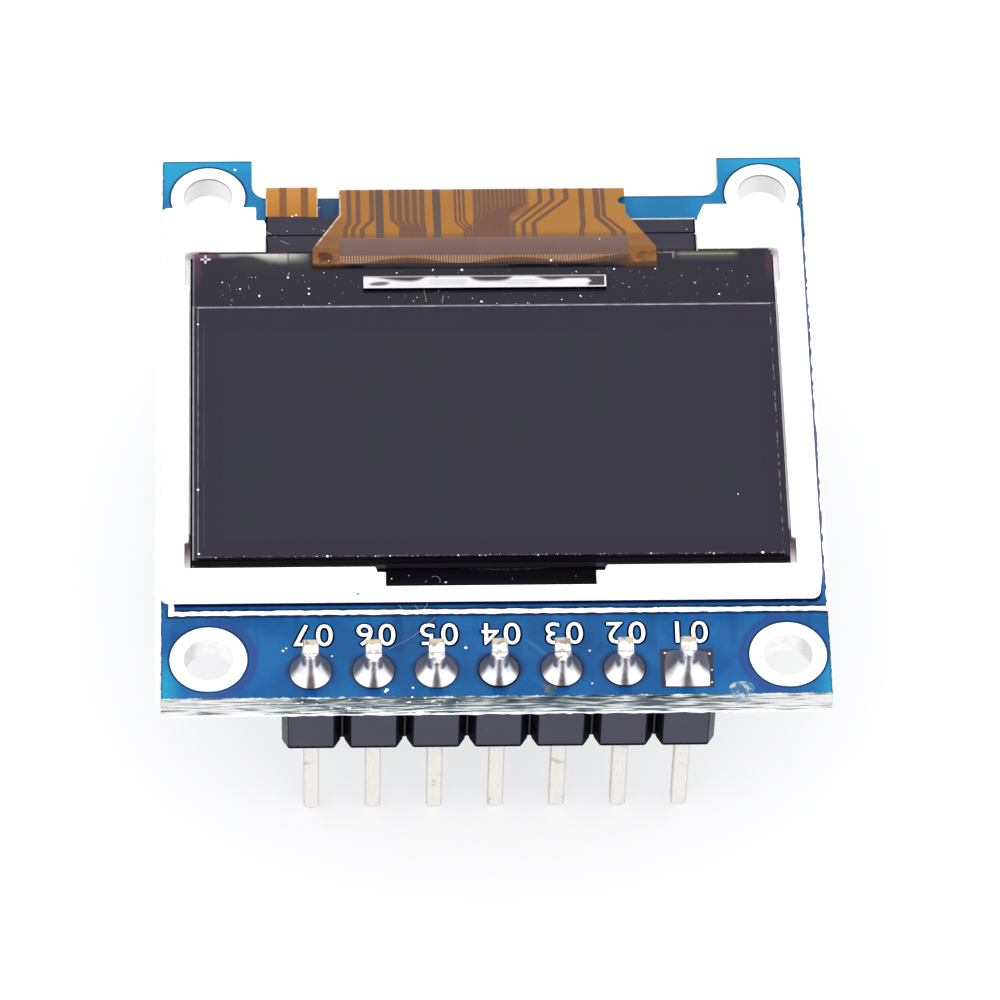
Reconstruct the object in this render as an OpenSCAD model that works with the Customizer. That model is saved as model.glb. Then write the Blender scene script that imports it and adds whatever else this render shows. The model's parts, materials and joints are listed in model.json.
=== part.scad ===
// Small colour display module: a glass cell on an edge-lit backlight, taped to a circuit
// board with a pin header along its front edge and two flexes folded round its rear edge.
// The board lies in XY with its rear face at z = 0 and the display facing +Z.

/* [Board] */
// Thickness of the circuit board
board_t = 1.2; // [0.8:0.1:1.6]
// Bare board beside the display frame, taken on both sides
side_margin = 0.14; // [0.1:0.01:1]
// Bare board in front of the display frame, where the header sits
front_margin = 4.56; // [4:0.01:7]
// Bare board between the display frame and the recessed rear edge
rear_margin = 1.68; // [1.3:0.01:4]
// Depth of the recess between the two rear ears
recess_depth = 2.03; // [1.5:0.01:4]
// Width of each rear ear
ear_w = 3.69; // [3.2:0.01:6]
// Radius of the inner corners of the recess
recess_r = 0.7; // [0.2:0.05:1.2]
// Diameter of the four corner holes
hole_d = 2.1; // [1.6:0.05:2.8]
// Mean distance of a corner hole from the side edge
hole_margin_x = 1.84; // [1.6:0.01:2.4]
// Distance of a corner hole from the front or rear edge
hole_margin_y = 1.95; // [1.6:0.05:2.4]
// Sideways offset of the board's cut sides from its holes
cut_x = -0.1; // [-0.2:0.01:0.2]

/* [Pin header] */
// Number of header pins
pin_count = 7; // [4:1:7]
// Distance between neighbouring pins
pin_pitch = 2.54; // [2:0.01:2.54]
// Width of a square pin
pin_w = 0.64; // [0.5:0.01:0.66]
// Distance of the pin row from the board's front edge
pin_margin = 1.3; // [1.2:0.05:2]
// Length of a pin below the moulded strip
pin_below = 6; // [3:0.1:12]
// Length of a pin above the board
pin_above = 1.9; // [1.5:0.05:4]
// Length of the taper at a pin's lower tip
pin_tip = 0.3; // [0.1:0.05:0.8]
// Width of a pin's lower tip
pin_tip_w = 0.42; // [0.2:0.01:0.5]
// Bevel round a pin's cut upper end
pin_crop = 0.06; // [0.02:0.01:0.15]
// Height of the moulded strip
strip_h = 2.54; // [2:0.01:4]
// Depth of the moulded strip from front to back
strip_d = 2.5; // [2:0.05:2.6]
// Slit between neighbouring cells of the strip
cell_gap = 0.16; // [0.1:0.02:0.4]
// Bevel of a cell's upright edges
cell_bevel = 0.24; // [0.1:0.02:0.6]
// Bevel of a cell's two lower corners
cell_foot = 0.3; // [0.1:0.02:0.6]
// Depth of the web that joins two cells
web_d = 1.8; // [0.8:0.05:1.9]
// Height of the web above the strip's underside
web_lift = 0.3; // [0.3:0.05:1.5]
// Diameter of the plated hole round a pin
pin_hole_d = 1; // [0.95:0.01:1.2]

/* [Solder] */
// Radius of a solder joint on the board
joint_r = 0.88; // [0.7:0.02:1.1]
// Height of a solder joint above the board
joint_h = 1.25; // [0.6:0.05:1.45]
// Solder left round the pin at the top of a joint
joint_neck = 0.15; // [0.15:0.01:0.25]
// Width of the square joint at the first pin
square_joint_w = 2; // [1.6:0.05:2.1]
// Depth of the square joint at the first pin
square_joint_d = 1.86; // [1.6:0.02:2.1]

/* [Display cell] */
// Sideways offset of the display from the board's middle
display_x = -0.25; // [-0.3:0.01:0.3]
// Width of both glasses
glass_w = 24.25; // [20:0.05:30]
// Length of the array glass, ledge included
array_l = 15.97; // [14:0.01:20]
// Thickness of the array glass
array_t = 0.3; // [0.2:0.05:0.7]
// Thickness of the filter glass
filter_t = 0.3; // [0.2:0.05:0.7]
// Thickness of the front polarizer
front_polarizer_t = 0.2; // [0.1:0.01:0.3]
// Thickness of the rear polarizer
rear_polarizer_t = 0.14; // [0.1:0.01:0.3]
// Border of glass left free round a polarizer
polarizer_inset = 0.2; // [0.05:0.01:0.5]
// Border of glass left free along the front polarizer's front edge
polarizer_front_inset = 0.06; // [0.02:0.01:0.3]
// Dark border between a side edge of the glass and the lit area
active_side = 1.225; // [1:0.025:2]
// Dark border between the front edge of the glass and the lit area
active_front = 1; // [0.6:0.05:1.5]
// Dark border between the rear edge of the filter glass and the lit area
active_rear = 1.3; // [0.8:0.05:2]
// Length of the driver chip
chip_w = 10.15; // [6:0.05:14]
// Sideways offset of the driver chip from the display's middle
chip_x = 0.07; // [-0.5:0.01:0.5]
// Depth of the driver chip
chip_d = 0.64; // [0.4:0.02:0.8]
// Height of the driver chip
chip_h = 0.18; // [0.15:0.01:0.4]
// Gap between the filter glass and the driver chip
chip_gap = 0.96; // [0.4:0.02:1.5]
// Gap between the driver chip and the bond of the display flex
chip_bond_gap = 0.63; // [0.3:0.01:1.5]

/* [Backlight] */
// Thickness of the tape under the frame
tape_t = 0.15; // [0.1:0.01:0.3]
// Border of the frame left free of that tape
tape_inset = 0.6; // [0.2:0.05:1]
// Thickness of the reflector film
reflector_t = 0.08; // [0.05:0.01:0.15]
// Thickness of the light guide
guide_t = 0.6; // [0.5:0.02:0.9]
// Thickness of the diffuser film
diffuser_t = 0.08; // [0.05:0.01:0.15]
// Thickness of each prism film
prism_t = 0.09; // [0.05:0.01:0.15]
// Thickness of the black rim tape
rim_t = 0.07; // [0.04:0.01:0.12]
// Dark border of the rim tape round the lit area
rim_margin = 0.2; // [0.1:0.05:0.4]
// Clearance between the glass and the frame's sides
seat_gap = 0.15; // [0.05:0.01:0.3]
// Clearance between the glass and the frame's front bar
front_gap = 0.07; // [0.03:0.01:0.2]
// Width of the frame's side walls
side_wall = 1.175; // [0.8:0.025:2]
// Width of the frame's front bar
front_bar = 0.82; // [0.6:0.01:2]
// Radius of the frame's outer corners
frame_r = 0.35; // [0.1:0.05:0.6]
// Width of the frame's inner shelf under the rim tape
shelf_w = 0.35; // [0.2:0.05:0.6]
// Clearance round the light guide and the films
film_gap = 0.05; // [0.02:0.01:0.15]
// Width of each rear arm of the frame
arm_w = 4.34; // [3:0.005:5]
// Length of each rear arm of the frame
arm_l = 2.34; // [2:0.02:4]
// Clearance between the glass and the arms
arm_gap = 0.13; // [0.05:0.01:0.3]
// Width of the step in the first arm's inner corner
arm_step_w = 0.36; // [0.1:0.02:0.6]
// Length of the step in the first arm's inner corner
arm_step_l = 0.7; // [0.2:0.05:1]
// Width of the slant on the second arm's inner corner
arm_slant_w = 0.28; // [0.1:0.02:0.6]
// Depth of the corner reliefs beside the glass
relief_d = 0.18; // [0.05:0.01:0.4]
// Length of the reliefs beside the glass ledge
ledge_relief_l = 1.78; // [1:0.02:2.5]
// Length of the reliefs at the front corners
front_relief_l = 1.3; // [0.6:0.02:2]
// Width of the front notch at the frame's front face
notch_w = 8.66; // [6:0.02:12]
// Width of the small step at each end of the notch
notch_step_w = 0.21; // [0.1:0.01:0.5]
// Depth of that step from the frame's front face
notch_step_d = 0.29; // [0.1:0.01:0.5]
// Width of the slant at each end of the notch
notch_slant_w = 0.18; // [0.05:0.01:0.4]
// Bare strip of the frame in front of the rim tape in the notch
notch_tape_set = 0.17; // [0.05:0.01:0.4]
// Height of a backlight lamp
led_h = 0.35; // [0.3:0.01:0.42]
// Width of a backlight lamp
led_w = 3.8; // [2:0.1:5]
// Depth of a backlight lamp
led_d = 1; // [0.6:0.05:1.2]
// Distance between a lamp and the nearer arm
led_inset = 2.71; // [1:0.01:4]
// Depth of the window in a lamp's face
led_window_d = 0.2; // [0.1:0.02:0.4]
// Rim round the window in a lamp's face
led_rim = 0.07; // [0.04:0.01:0.1]
// Thickness of the black tape over the lamps
cover_t = 0.06; // [0.04:0.01:0.1]
// Reach of the rim tape past the arms' front faces
skirt_l = 1.47; // [1:0.01:1.8]

/* [Flexes] */
// Thickness of the display flex
flex_t = 0.1; // [0.06:0.01:0.15]
// Thickness of the backlight flex
led_flex_t = 0.07; // [0.05:0.01:0.12]
// Clearance between a folded flex and the board
flex_gap = 0.02; // [0.02:0.01:0.1]
// Thickness of the bond film under the display flex
bond_t = 0.03; // [0.02:0.01:0.05]
// Length of the bond on the glass ledge
bond_l = 0.74; // [0.5:0.02:1.2]
// Clearance between the display flex and the backlight flex's tab
flex_tab_gap = 0.9; // [0.5:0.05:2]
// Clearance between the display flex and the second arm
flex_arm_gap = 2.96; // [1.5:0.02:4]
// Spread of the display flex on each side, from the fold to the bond
flare_w = 1.15; // [0.2:0.05:1.4]
// Length over which the display flex narrows
flare_l = 2.55; // [1:0.05:3]
// Radius of the round nick in the display flex's edge
nick_r = 0.3; // [0.1:0.02:0.5]
// Distance of the nick from the recessed board edge
nick_set = 0.5; // [0.4:0.05:1]
// Length of the flexes on the board's rear face
rear_run = 2.6; // [1.5:0.05:4]
// Width of the backlight flex's tab
tab_w = 2.2; // [1.5:0.05:2.4]
// Distance that the tab's fold stands out behind the display flex's fold
tab_fold_out = 0.18; // [0:0.01:0.5]
// Clearance between the backlight flex and the frame's arms
tab_gap = 0.05; // [0.02:0.01:0.2]

/* [Rear parts] */
// Distance of the first row of rear parts from the pin row
pin_row_gap = 5.5; // [4:0.1:8]
// Distance of the second row of rear parts from the flex joints
flex_row_gap = 2.7; // [1.5:0.1:5]
// Number of solder joints on the display flex
flex_joints = 13; // [8:1:14]
// Border of the display flex beside its outermost joints
flex_joint_inset = 1.25; // [0.8:0.05:2]
// Width of a flex joint
flex_joint_w = 0.45; // [0.2:0.05:0.5]
// Length of a flex joint
flex_joint_l = 0.9; // [0.5:0.05:1.5]
// Distance between the two backlight flex joints
tab_joint_pitch = 1.1; // [0.8:0.05:1.2]
// Length of a moulded three-lead package
sot_w = 2.9; // [2.6:0.05:3.1]
// Depth of a moulded three-lead package
sot_d = 1.3; // [1.2:0.05:1.6]
// Height of a moulded three-lead package
sot_h = 1; // [0.8:0.05:1.2]
// Reach of a package lead from the body
sot_lead_l = 0.55; // [0.4:0.05:0.8]
// Distance between the two leads on one side
sot_lead_pitch = 1.9; // [1.6:0.05:2]
// Length of a capacitor or resistor
chip_part_w = 1.6; // [1:0.05:2]
// Width of a capacitor or resistor
chip_part_d = 0.8; // [0.5:0.05:1.2]
// Height of a capacitor
capacitor_h = 0.8; // [0.5:0.05:1.2]
// Height of a resistor
resistor_h = 0.45; // [0.3:0.05:0.6]
// Length of a metal end cap
end_cap_l = 0.32; // [0.2:0.02:0.5]

/* [Hidden] */
// Far enough to cut clean through any piece
through = 20;
// Small overrun of a cut past the face it opens
over = 0.5;
// Steps along a curved outline
steps = 10;
arc_steps = 18;
$fn = 64;

// Heights of the stack, from the board's upper face
z_frame = board_t + tape_t;
z_guide = z_frame + reflector_t;
z_diffuser = z_guide + guide_t;
z_lower_prism = z_diffuser + diffuser_t;
z_upper_prism = z_lower_prism + prism_t;
z_rim = z_upper_prism + prism_t;
z_rear_polarizer = z_rim + rim_t;
z_array = z_rear_polarizer + rear_polarizer_t;
z_filter = z_array + array_t;
z_front_polarizer = z_filter + filter_t;
frame_h = z_filter - z_frame;
z_led_flex = z_frame + led_h;
z_cover = z_led_flex + led_flex_t;
z_skirt = z_cover + cover_t;

// Outlines of the frame and the board, worked out from the glass
seat_w = glass_w + 2 * seat_gap;
frame_w = seat_w + 2 * side_wall;
frame_l = front_bar + front_gap + array_l + arm_gap + arm_l;
board_w = frame_w + 2 * side_margin;
board_l = front_margin + frame_l + rear_margin + recess_depth;
hole_x = board_w / 2 - hole_margin_x;
hole_y = board_l / 2 - hole_margin_y;
board_front = -board_l / 2;
recess_y = board_l / 2 - recess_depth;
frame_front = board_front + front_margin;
frame_rear = frame_front + frame_l;
bar_rear = frame_front + front_bar;
glass_front = bar_rear + front_gap;
array_rear = glass_front + array_l;
flex_bond_y = array_rear - bond_l;
chip_rear = flex_bond_y - chip_bond_gap;
filter_rear = chip_rear - chip_d - chip_gap;
filter_l = filter_rear - glass_front;
arm_front = array_rear + arm_gap;
arm_inner = frame_w / 2 - arm_w;
active_w = glass_w - 2 * active_side;
active_l = filter_l - active_front - active_rear;

// Light guide and films, inside the frame's shelf
cavity_w = seat_w - 2 * shelf_w;
cavity_front = bar_rear + shelf_w;
guide_w = cavity_w - 2 * film_gap;
guide_front = cavity_front + film_gap;
guide_rear = arm_front - film_gap;
led_x = arm_inner - led_inset - led_w / 2;
led_front = arm_front;
led_rear = led_front + led_d;

// Pins, numbered from the right as seen with the header in front
pins = [for (n = [1:pin_count]) n];
pin_y = board_front + pin_margin;
pin_bottom = -strip_h - pin_below;
pin_top = board_t + pin_above;
neck_r = pin_w / 2 + joint_neck;

// Flexes, folded round the recessed edge at half the board's thickness
fold = [recess_y, board_t / 2];
flex_w = 2 * arm_inner - tab_gap - tab_w - flex_tab_gap - flex_arm_gap;
flex_x = display_x + arm_inner - flex_arm_gap - flex_w / 2;
bond_w = flex_w + 2 * flare_w;
flex_joint_pitch = (flex_w - 2 * flex_joint_inset - flex_joint_w) / (flex_joints - 1);
flex_z = z_filter + bond_t + flex_t / 2;
led_flex_z = z_led_flex + led_flex_t / 2;
tab_x = display_x - arm_inner + tab_gap + tab_w / 2;
flex_rear_y = recess_y - rear_run;
joint_t = flex_gap + flex_t;

// Gull-wing leads of the three-lead packages
sot_lead_t = 0.13;
sot_lead_w = 0.4;
sot_foot_l = 0.25;
sot_standoff = 0.05;
sot_draft = 0.08;
end_cap_t = 0.03;

// Rear parts: place on the board's rear face and turn, in line with the pins
rear_row_y = pin_y + pin_row_gap;
flex_row_y = flex_rear_y - flex_joint_l - flex_row_gap;
regulator_at = [2 * pin_pitch, rear_row_y, 0];
transistor_at = [-2 * pin_pitch, rear_row_y, 0];
capacitors_at = [[3 * pin_pitch, rear_row_y, 90], [pin_pitch, rear_row_y, 90], [pin_pitch, flex_row_y, 0]];
resistors_at = [[-3 * pin_pitch, rear_row_y, 90], [-pin_pitch, rear_row_y, 90], [-pin_pitch, flex_row_y, 0]];
lamps = [1, 2];

// Helpers for strips of even thickness that follow a line of points
function unit(v) = v / norm(v);
function left_of(v) = [-v[1], v[0]];
function reversed(p) = [for (i = [len(p) - 1:-1:0]) p[i]];
function edge_of(p, s) = [
  for (i = [0:len(p) - 1])
    let (
      a = left_of(unit(p[max(i, 1)] - p[max(i, 1) - 1])),
      b = left_of(unit(p[min(i + 1, len(p) - 1)] - p[min(i, len(p) - 2)])),
      n = unit(a + b)
    )
    p[i] + n * s / (n * a)
];
function ribbon(p, t) = concat(edge_of(p, t / 2), reversed(edge_of(p, -t / 2)));

// Line of a flex: flat to the bend, straight down to the fold, round it and along the rear
function wrap_line(start, bend, r, out) =
  let (
    middle = fold + [out, 0],
    d = bend - middle,
    a0 = atan2(d[1], d[0]) - acos(r / norm(d))
  )
  concat(
    [start, bend],
    [for (i = [0:arc_steps]) let (a = a0 - (a0 + 90) * i / arc_steps) middle + r * [cos(a), sin(a)]],
    [[flex_rear_y, middle[1] - r]]
  );

// Half-width of a solder joint at the share s of its height, from pad to pin
function joint_curve(base, s) = neck_r + (base - neck_r) * pow(1 - s, 2);

function pin_x(n) = pin_pitch * ((pin_count + 1) / 2 - n);

// An outline in YZ, carried across X about the middle x
module across(x, w) {
  translate([x, 0, 0])
    rotate([90, 0, 90])
      linear_extrude(w, center = true)
        children();
}

// A plate about the middle x, from y0 to y1 and from z up by t
module plate(x, w, y0, y1, z, t) {
  translate([x - w / 2, y0, z])
    cube([w, y1 - y0, t]);
}

module rounded_rectangle(w, l, r) {
  square([w - 2 * r, l], center = true);
  square([w, l - 2 * r], center = true);
  for (x = [-1, 1], y = [-1, 1])
    translate([x * (w / 2 - r), y * (l / 2 - r)])
      circle(r);
}

// Places a part on the board's rear face
module on_rear(at) {
  translate([at[0], at[1], 0])
    rotate([180, 0, at[2]])
      children();
}

module pcb() {
  recess_w = board_w - 2 * ear_w;
  color("royalblue")
    difference() {
      linear_extrude(board_t)
        difference() {
          translate([cut_x, 0])
            square([board_w, board_l], center = true);
          translate([0, recess_y + recess_depth])
            rounded_rectangle(recess_w, 2 * recess_depth, recess_r);
        }
      for (x = [-1, 1], y = [-1, 1])
        translate([x * hole_x, y * hole_y, -over])
          cylinder(d = hole_d, h = board_t + 2 * over);
      for (n = pins)
        translate([pin_x(n), pin_y, -over])
          cylinder(d = pin_hole_d, h = board_t + 2 * over);
    }
}

// Octagonal cells with bevelled feet, joined by thin webs
module header_strip() {
  cell_w = pin_pitch - cell_gap;
  w = cell_w / 2;
  d = strip_d / 2;
  color("dimgray")
    translate([0, pin_y, 0])
      difference() {
        union() {
          for (n = pins)
            translate([pin_x(n), 0, -strip_h])
              intersection() {
                linear_extrude(strip_h)
                  polygon([
                    [w - cell_bevel, -d], [w, cell_bevel - d], [w, d - cell_bevel], [w - cell_bevel, d],
                    [cell_bevel - w, d], [-w, d - cell_bevel], [-w, cell_bevel - d], [cell_bevel - w, -d]
                  ]);
                rotate([90, 0, 0])
                  linear_extrude(strip_d, center = true)
                    polygon([
                      [cell_foot - w, 0], [w - cell_foot, 0], [w, cell_foot],
                      [w, strip_h], [-w, strip_h], [-w, cell_foot]
                    ]);
              }
          plate(0, (pin_count - 1) * pin_pitch, -web_d / 2, web_d / 2,
            web_lift - strip_h, strip_h - web_lift);
        }
        for (n = pins)
          plate(pin_x(n), pin_w, -pin_w / 2, pin_w / 2, -strip_h - over, strip_h + 2 * over);
      }
}

// Side outline of a pin, the same from the front and from the side
module pin_outline() {
  w = pin_w / 2;
  t = pin_tip_w / 2;
  polygon([
    [-t, pin_bottom], [t, pin_bottom], [w, pin_bottom + pin_tip], [w, pin_top - pin_crop],
    [w - pin_crop, pin_top], [pin_crop - w, pin_top], [-w, pin_top - pin_crop], [-w, pin_bottom + pin_tip]
  ]);
}

module header_pin(n) {
  color("gainsboro")
    translate([pin_x(n), pin_y, 0])
      intersection() {
        across(0, pin_w)
          pin_outline();
        rotate([90, 0, 0])
          linear_extrude(pin_w, center = true)
            pin_outline();
      }
}

// Hollow-sided outline of a joint over a base of the given half-width
module joint_outline(base) {
  side = [for (i = [0:steps]) [joint_curve(base, i / steps), board_t + joint_h * i / steps]];
  mirrored = [for (p = reversed(side)) [-p[0], p[1]]];
  polygon(concat(side, mirrored));
}

// Joint on the square pad that marks the first pin
module square_joint() {
  intersection() {
    across(0, square_joint_w)
      joint_outline(square_joint_d / 2);
    rotate([90, 0, 0])
      linear_extrude(square_joint_d, center = true)
        joint_outline(square_joint_w / 2);
  }
}

module round_joint() {
  rotate_extrude()
    intersection() {
      joint_outline(joint_r);
      translate([0, board_t])
        square([joint_r, joint_h]);
    }
}

// Solder drawn up a pin and down through its plated hole
module solder_fillet(n) {
  color("silver")
    translate([pin_x(n), pin_y, 0])
      difference() {
        union() {
          if (n == 1)
            square_joint();
          else
            round_joint();
          cylinder(d = pin_hole_d, h = board_t);
        }
        plate(0, pin_w, -pin_w / 2, pin_w / 2, -over, pin_top + over);
      }
}

// Notch through the front bar, with a step and a slant at each end
module notch_outline() {
  w0 = notch_w / 2;
  w1 = w0 + notch_step_w;
  w2 = w1 + notch_slant_w;
  step_y = frame_front + notch_step_d;
  polygon([
    [-w0, frame_front - over], [w0, frame_front - over], [w0, step_y], [w1, step_y],
    [w2, bar_rear + film_gap], [-w2, bar_rear + film_gap], [-w1, step_y], [-w0, step_y]
  ]);
}

module backlight_frame() {
  relief_w = seat_w + 2 * relief_d;
  color("white")
    translate([display_x, 0, 0])
      difference() {
        translate([0, frame_front + frame_l / 2, z_frame])
          linear_extrude(frame_h)
            rounded_rectangle(frame_w, frame_l, frame_r);
        plate(0, seat_w, bar_rear, arm_front, z_rim, through);
        plate(0, relief_w, arm_front - ledge_relief_l, arm_front, z_rim, through);
        plate(0, relief_w, bar_rear, bar_rear + front_relief_l, z_rim, through);
        plate(0, cavity_w, cavity_front, arm_front, -through, 2 * through);
        plate(0, 2 * arm_inner, arm_front - film_gap, frame_rear + over, z_led_flex, through);
        translate([0, 0, z_rim])
          linear_extrude(through)
            notch_outline();
        for (side = [-1, 1])
          plate(side * led_x, led_w + 2 * film_gap, arm_front - film_gap,
            led_rear + film_gap, -through, 2 * through);
        plate(-arm_inner, 2 * arm_step_w, frame_rear - arm_step_l, frame_rear + over, z_led_flex, through);
        translate([0, 0, z_led_flex])
          linear_extrude(through)
            polygon([
              [arm_inner - over, frame_rear - arm_step_l], [arm_inner, frame_rear - arm_step_l],
              [arm_inner + arm_slant_w, frame_rear], [arm_inner + arm_slant_w, frame_rear + over],
              [arm_inner - over, frame_rear + over]
            ]);
      }
}

module mounting_tape() {
  color("lightyellow")
    plate(display_x, frame_w - 2 * tape_inset, frame_front + tape_inset, frame_rear - tape_inset,
      board_t, tape_t);
}

// A film of the backlight, cut to the light guide's outline
module backlight_film(z, t) {
  plate(display_x, guide_w, guide_front, guide_rear, z, t);
}

module reflector_film() {
  color("whitesmoke")
    backlight_film(z_frame, reflector_t);
}

module light_guide() {
  color("aliceblue")
    backlight_film(z_guide, guide_t);
}

module diffuser_film() {
  color("ghostwhite")
    backlight_film(z_diffuser, diffuser_t);
}

module lower_prism_film() {
  color("lavender")
    backlight_film(z_lower_prism, prism_t);
}

module upper_prism_film() {
  color("lavender")
    backlight_film(z_upper_prism, prism_t);
}

// Side-emitting lamp with its window towards the light guide
module backlight_led(n) {
  x = display_x + (2 * n - 3) * led_x;
  color("ivory")
    difference() {
      plate(x, led_w, led_front, led_rear, z_frame, led_h);
      plate(x, led_w - 2 * led_rim, led_front - over,
        led_front + led_window_d, z_frame + led_rim, led_h - 2 * led_rim);
    }
}

module led_cover_tape() {
  color("black")
    plate(display_x, 2 * (arm_inner - tab_gap), led_front + film_gap, frame_rear - film_gap,
      z_cover, cover_t);
}

// Black frame round the lit area, with a tab in the notch and a skirt down over the lamps
module rim_tape() {
  window_front = glass_front + active_front - rim_margin;
  z = z_rim + rim_t / 2;
  skirt_z = z_skirt + rim_t / 2;
  drop = z - skirt_z;
  color("black")
    difference() {
      union() {
        plate(display_x, seat_w - 2 * film_gap, bar_rear + film_gap, guide_rear, z_rim, rim_t);
        plate(display_x, notch_w - 2 * film_gap, frame_front + notch_tape_set, bar_rear + 2 * film_gap,
          z_rim, rim_t);
        across(display_x, 2 * (arm_inner - tab_gap))
          polygon(ribbon([
            [guide_rear - drop, z], [guide_rear + film_gap, z],
            [guide_rear + film_gap + drop, skirt_z], [arm_front + skirt_l, skirt_z]
          ], rim_t));
      }
      plate(display_x, active_w + 2 * rim_margin, window_front,
        window_front + active_l + 2 * rim_margin, z_rim - over, 2 * over);
    }
}

module rear_polarizer() {
  color("dimgray")
    plate(display_x, glass_w - 2 * polarizer_inset, glass_front + polarizer_inset,
      array_rear - polarizer_inset, z_rear_polarizer, rear_polarizer_t);
}

module array_glass() {
  color("darkslategray")
    plate(display_x, glass_w, glass_front, array_rear, z_array, array_t);
}

module filter_glass() {
  color("darkslategray")
    plate(display_x, glass_w, glass_front, filter_rear, z_filter, filter_t);
}

module front_polarizer() {
  color([0.2, 0.19, 0.24])
    plate(display_x, glass_w - 2 * polarizer_inset, glass_front + polarizer_front_inset,
      filter_rear - polarizer_inset, z_front_polarizer, front_polarizer_t);
}

module driver_chip() {
  color("lightgray")
    plate(display_x + chip_x, chip_w, chip_rear - chip_d, chip_rear, z_filter, chip_h);
}

module bond_film() {
  color("saddlebrown")
    plate(flex_x, bond_w, flex_bond_y, array_rear, z_filter, bond_t);
}

// Flex that spreads towards the glass, with a round nick beside the fold
module display_flex() {
  flare_y = array_rear + arm_gap;
  fold_r = board_t / 2 + flex_gap + flex_t / 2;
  line = wrap_line([flex_bond_y, flex_z], [flare_y, flex_z], fold_r, 0);
  color("darkgoldenrod")
    difference() {
      intersection() {
        across(flex_x, bond_w)
          polygon(ribbon(line, flex_t));
        translate([flex_x, 0, -through])
          linear_extrude(2 * through)
            polygon([
              [-bond_w / 2, flex_bond_y - over], [bond_w / 2, flex_bond_y - over],
              [bond_w / 2, flare_y], [flex_w / 2, flare_y + flare_l],
              [flex_w / 2, board_l], [-flex_w / 2, board_l],
              [-flex_w / 2, flare_y + flare_l], [-bond_w / 2, flare_y]
            ]);
      }
      translate([flex_x + flex_w / 2, recess_y - nick_set, board_t])
        cylinder(r = nick_r, h = through);
    }
}

// Row of solder joints against a flex's rear end
module joint_row(x, count, pitch) {
  color("silver")
    for (i = [0:count - 1])
      plate(x + (i - (count - 1) / 2) * pitch, flex_joint_w, flex_rear_y - flex_joint_l, flex_rear_y,
        -joint_t, joint_t);
}

module flex_solder() {
  joint_row(flex_x, flex_joints, flex_joint_pitch);
}

module backlight_solder() {
  joint_row(tab_x, 2, tab_joint_pitch);
}

// Strip that carries the lamps, with a tab folded round the board
module backlight_flex() {
  bend_y = frame_rear + led_flex_t;
  fold_r = board_t / 2 + flex_gap + led_flex_t / 2;
  strip_front = led_front + film_gap;
  line = wrap_line([strip_front, led_flex_z], [bend_y, led_flex_z], fold_r, tab_fold_out);
  color("goldenrod")
    union() {
      plate(display_x, 2 * (arm_inner - tab_gap), strip_front, frame_rear - film_gap,
        z_led_flex, led_flex_t);
      across(tab_x, tab_w)
        polygon(ribbon(line, led_flex_t));
    }
}

// Moulded body with drafted sides and three gull-wing leads
module three_lead_package() {
  z = sot_standoff + sot_h / 2;
  lead_mid = sot_lead_t / 2;
  color("dimgray")
    intersection() {
      across(0, sot_w)
        polygon([
          [-sot_d / 2 + sot_draft, sot_standoff], [sot_d / 2 - sot_draft, sot_standoff], [sot_d / 2, z],
          [sot_d / 2 - sot_draft, sot_standoff + sot_h], [-sot_d / 2 + sot_draft, sot_standoff + sot_h],
          [-sot_d / 2, z]
        ]);
      rotate([90, 0, 0])
        linear_extrude(sot_d, center = true)
          polygon([
            [-sot_w / 2 + sot_draft, sot_standoff], [sot_w / 2 - sot_draft, sot_standoff], [sot_w / 2, z],
            [sot_w / 2 - sot_draft, sot_standoff + sot_h], [-sot_w / 2 + sot_draft, sot_standoff + sot_h],
            [-sot_w / 2, z]
          ]);
    }
  color("silver")
    for (lead = [[-sot_lead_pitch / 2, 0], [sot_lead_pitch / 2, 0], [0, 180]])
      rotate([0, 0, lead[1]])
        across(lead[0], sot_lead_w)
          polygon(ribbon([
            [sot_d / 2 - sot_draft, z], [sot_d / 2 + sot_lead_l - sot_foot_l - sot_lead_t, z],
            [sot_d / 2 + sot_lead_l - sot_foot_l, lead_mid], [sot_d / 2 + sot_lead_l, lead_mid]
          ], sot_lead_t));
}

module regulator() {
  on_rear(regulator_at)
    three_lead_package();
}

module backlight_transistor() {
  on_rear(transistor_at)
    three_lead_package();
}

// Block with a metal cap wrapped round each end
module capped_block(h) {
  plate(0, chip_part_w - 2 * end_cap_l, end_cap_t - chip_part_d / 2, chip_part_d / 2 - end_cap_t,
    end_cap_t, h - 2 * end_cap_t);
  for (side = [-1, 1])
    plate(side * (chip_part_w - end_cap_l) / 2, end_cap_l, -chip_part_d / 2, chip_part_d / 2, 0, h);
}

module capacitor(n) {
  color("tan")
    on_rear(capacitors_at[n - 1])
      capped_block(capacitor_h);
}

module resistor(n) {
  color("darkslategray")
    on_rear(resistors_at[n - 1])
      capped_block(resistor_h);
}

pcb();
header_strip();
for (n = pins) header_pin(n);
for (n = pins) solder_fillet(n);
backlight_frame();
mounting_tape();
reflector_film();
light_guide();
diffuser_film();
lower_prism_film();
upper_prism_film();
led_cover_tape();
rim_tape();
rear_polarizer();
array_glass();
filter_glass();
front_polarizer();
driver_chip();
bond_film();
display_flex();
flex_solder();
backlight_flex();
backlight_solder();
for (n = lamps) backlight_led(n);
regulator();
backlight_transistor();
for (n = [1:len(capacitors_at)]) capacitor(n);
for (n = [1:len(resistors_at)]) resistor(n);
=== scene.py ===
import json
import math
import random

import bmesh
import bpy
from mathutils import Matrix, Vector


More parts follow.
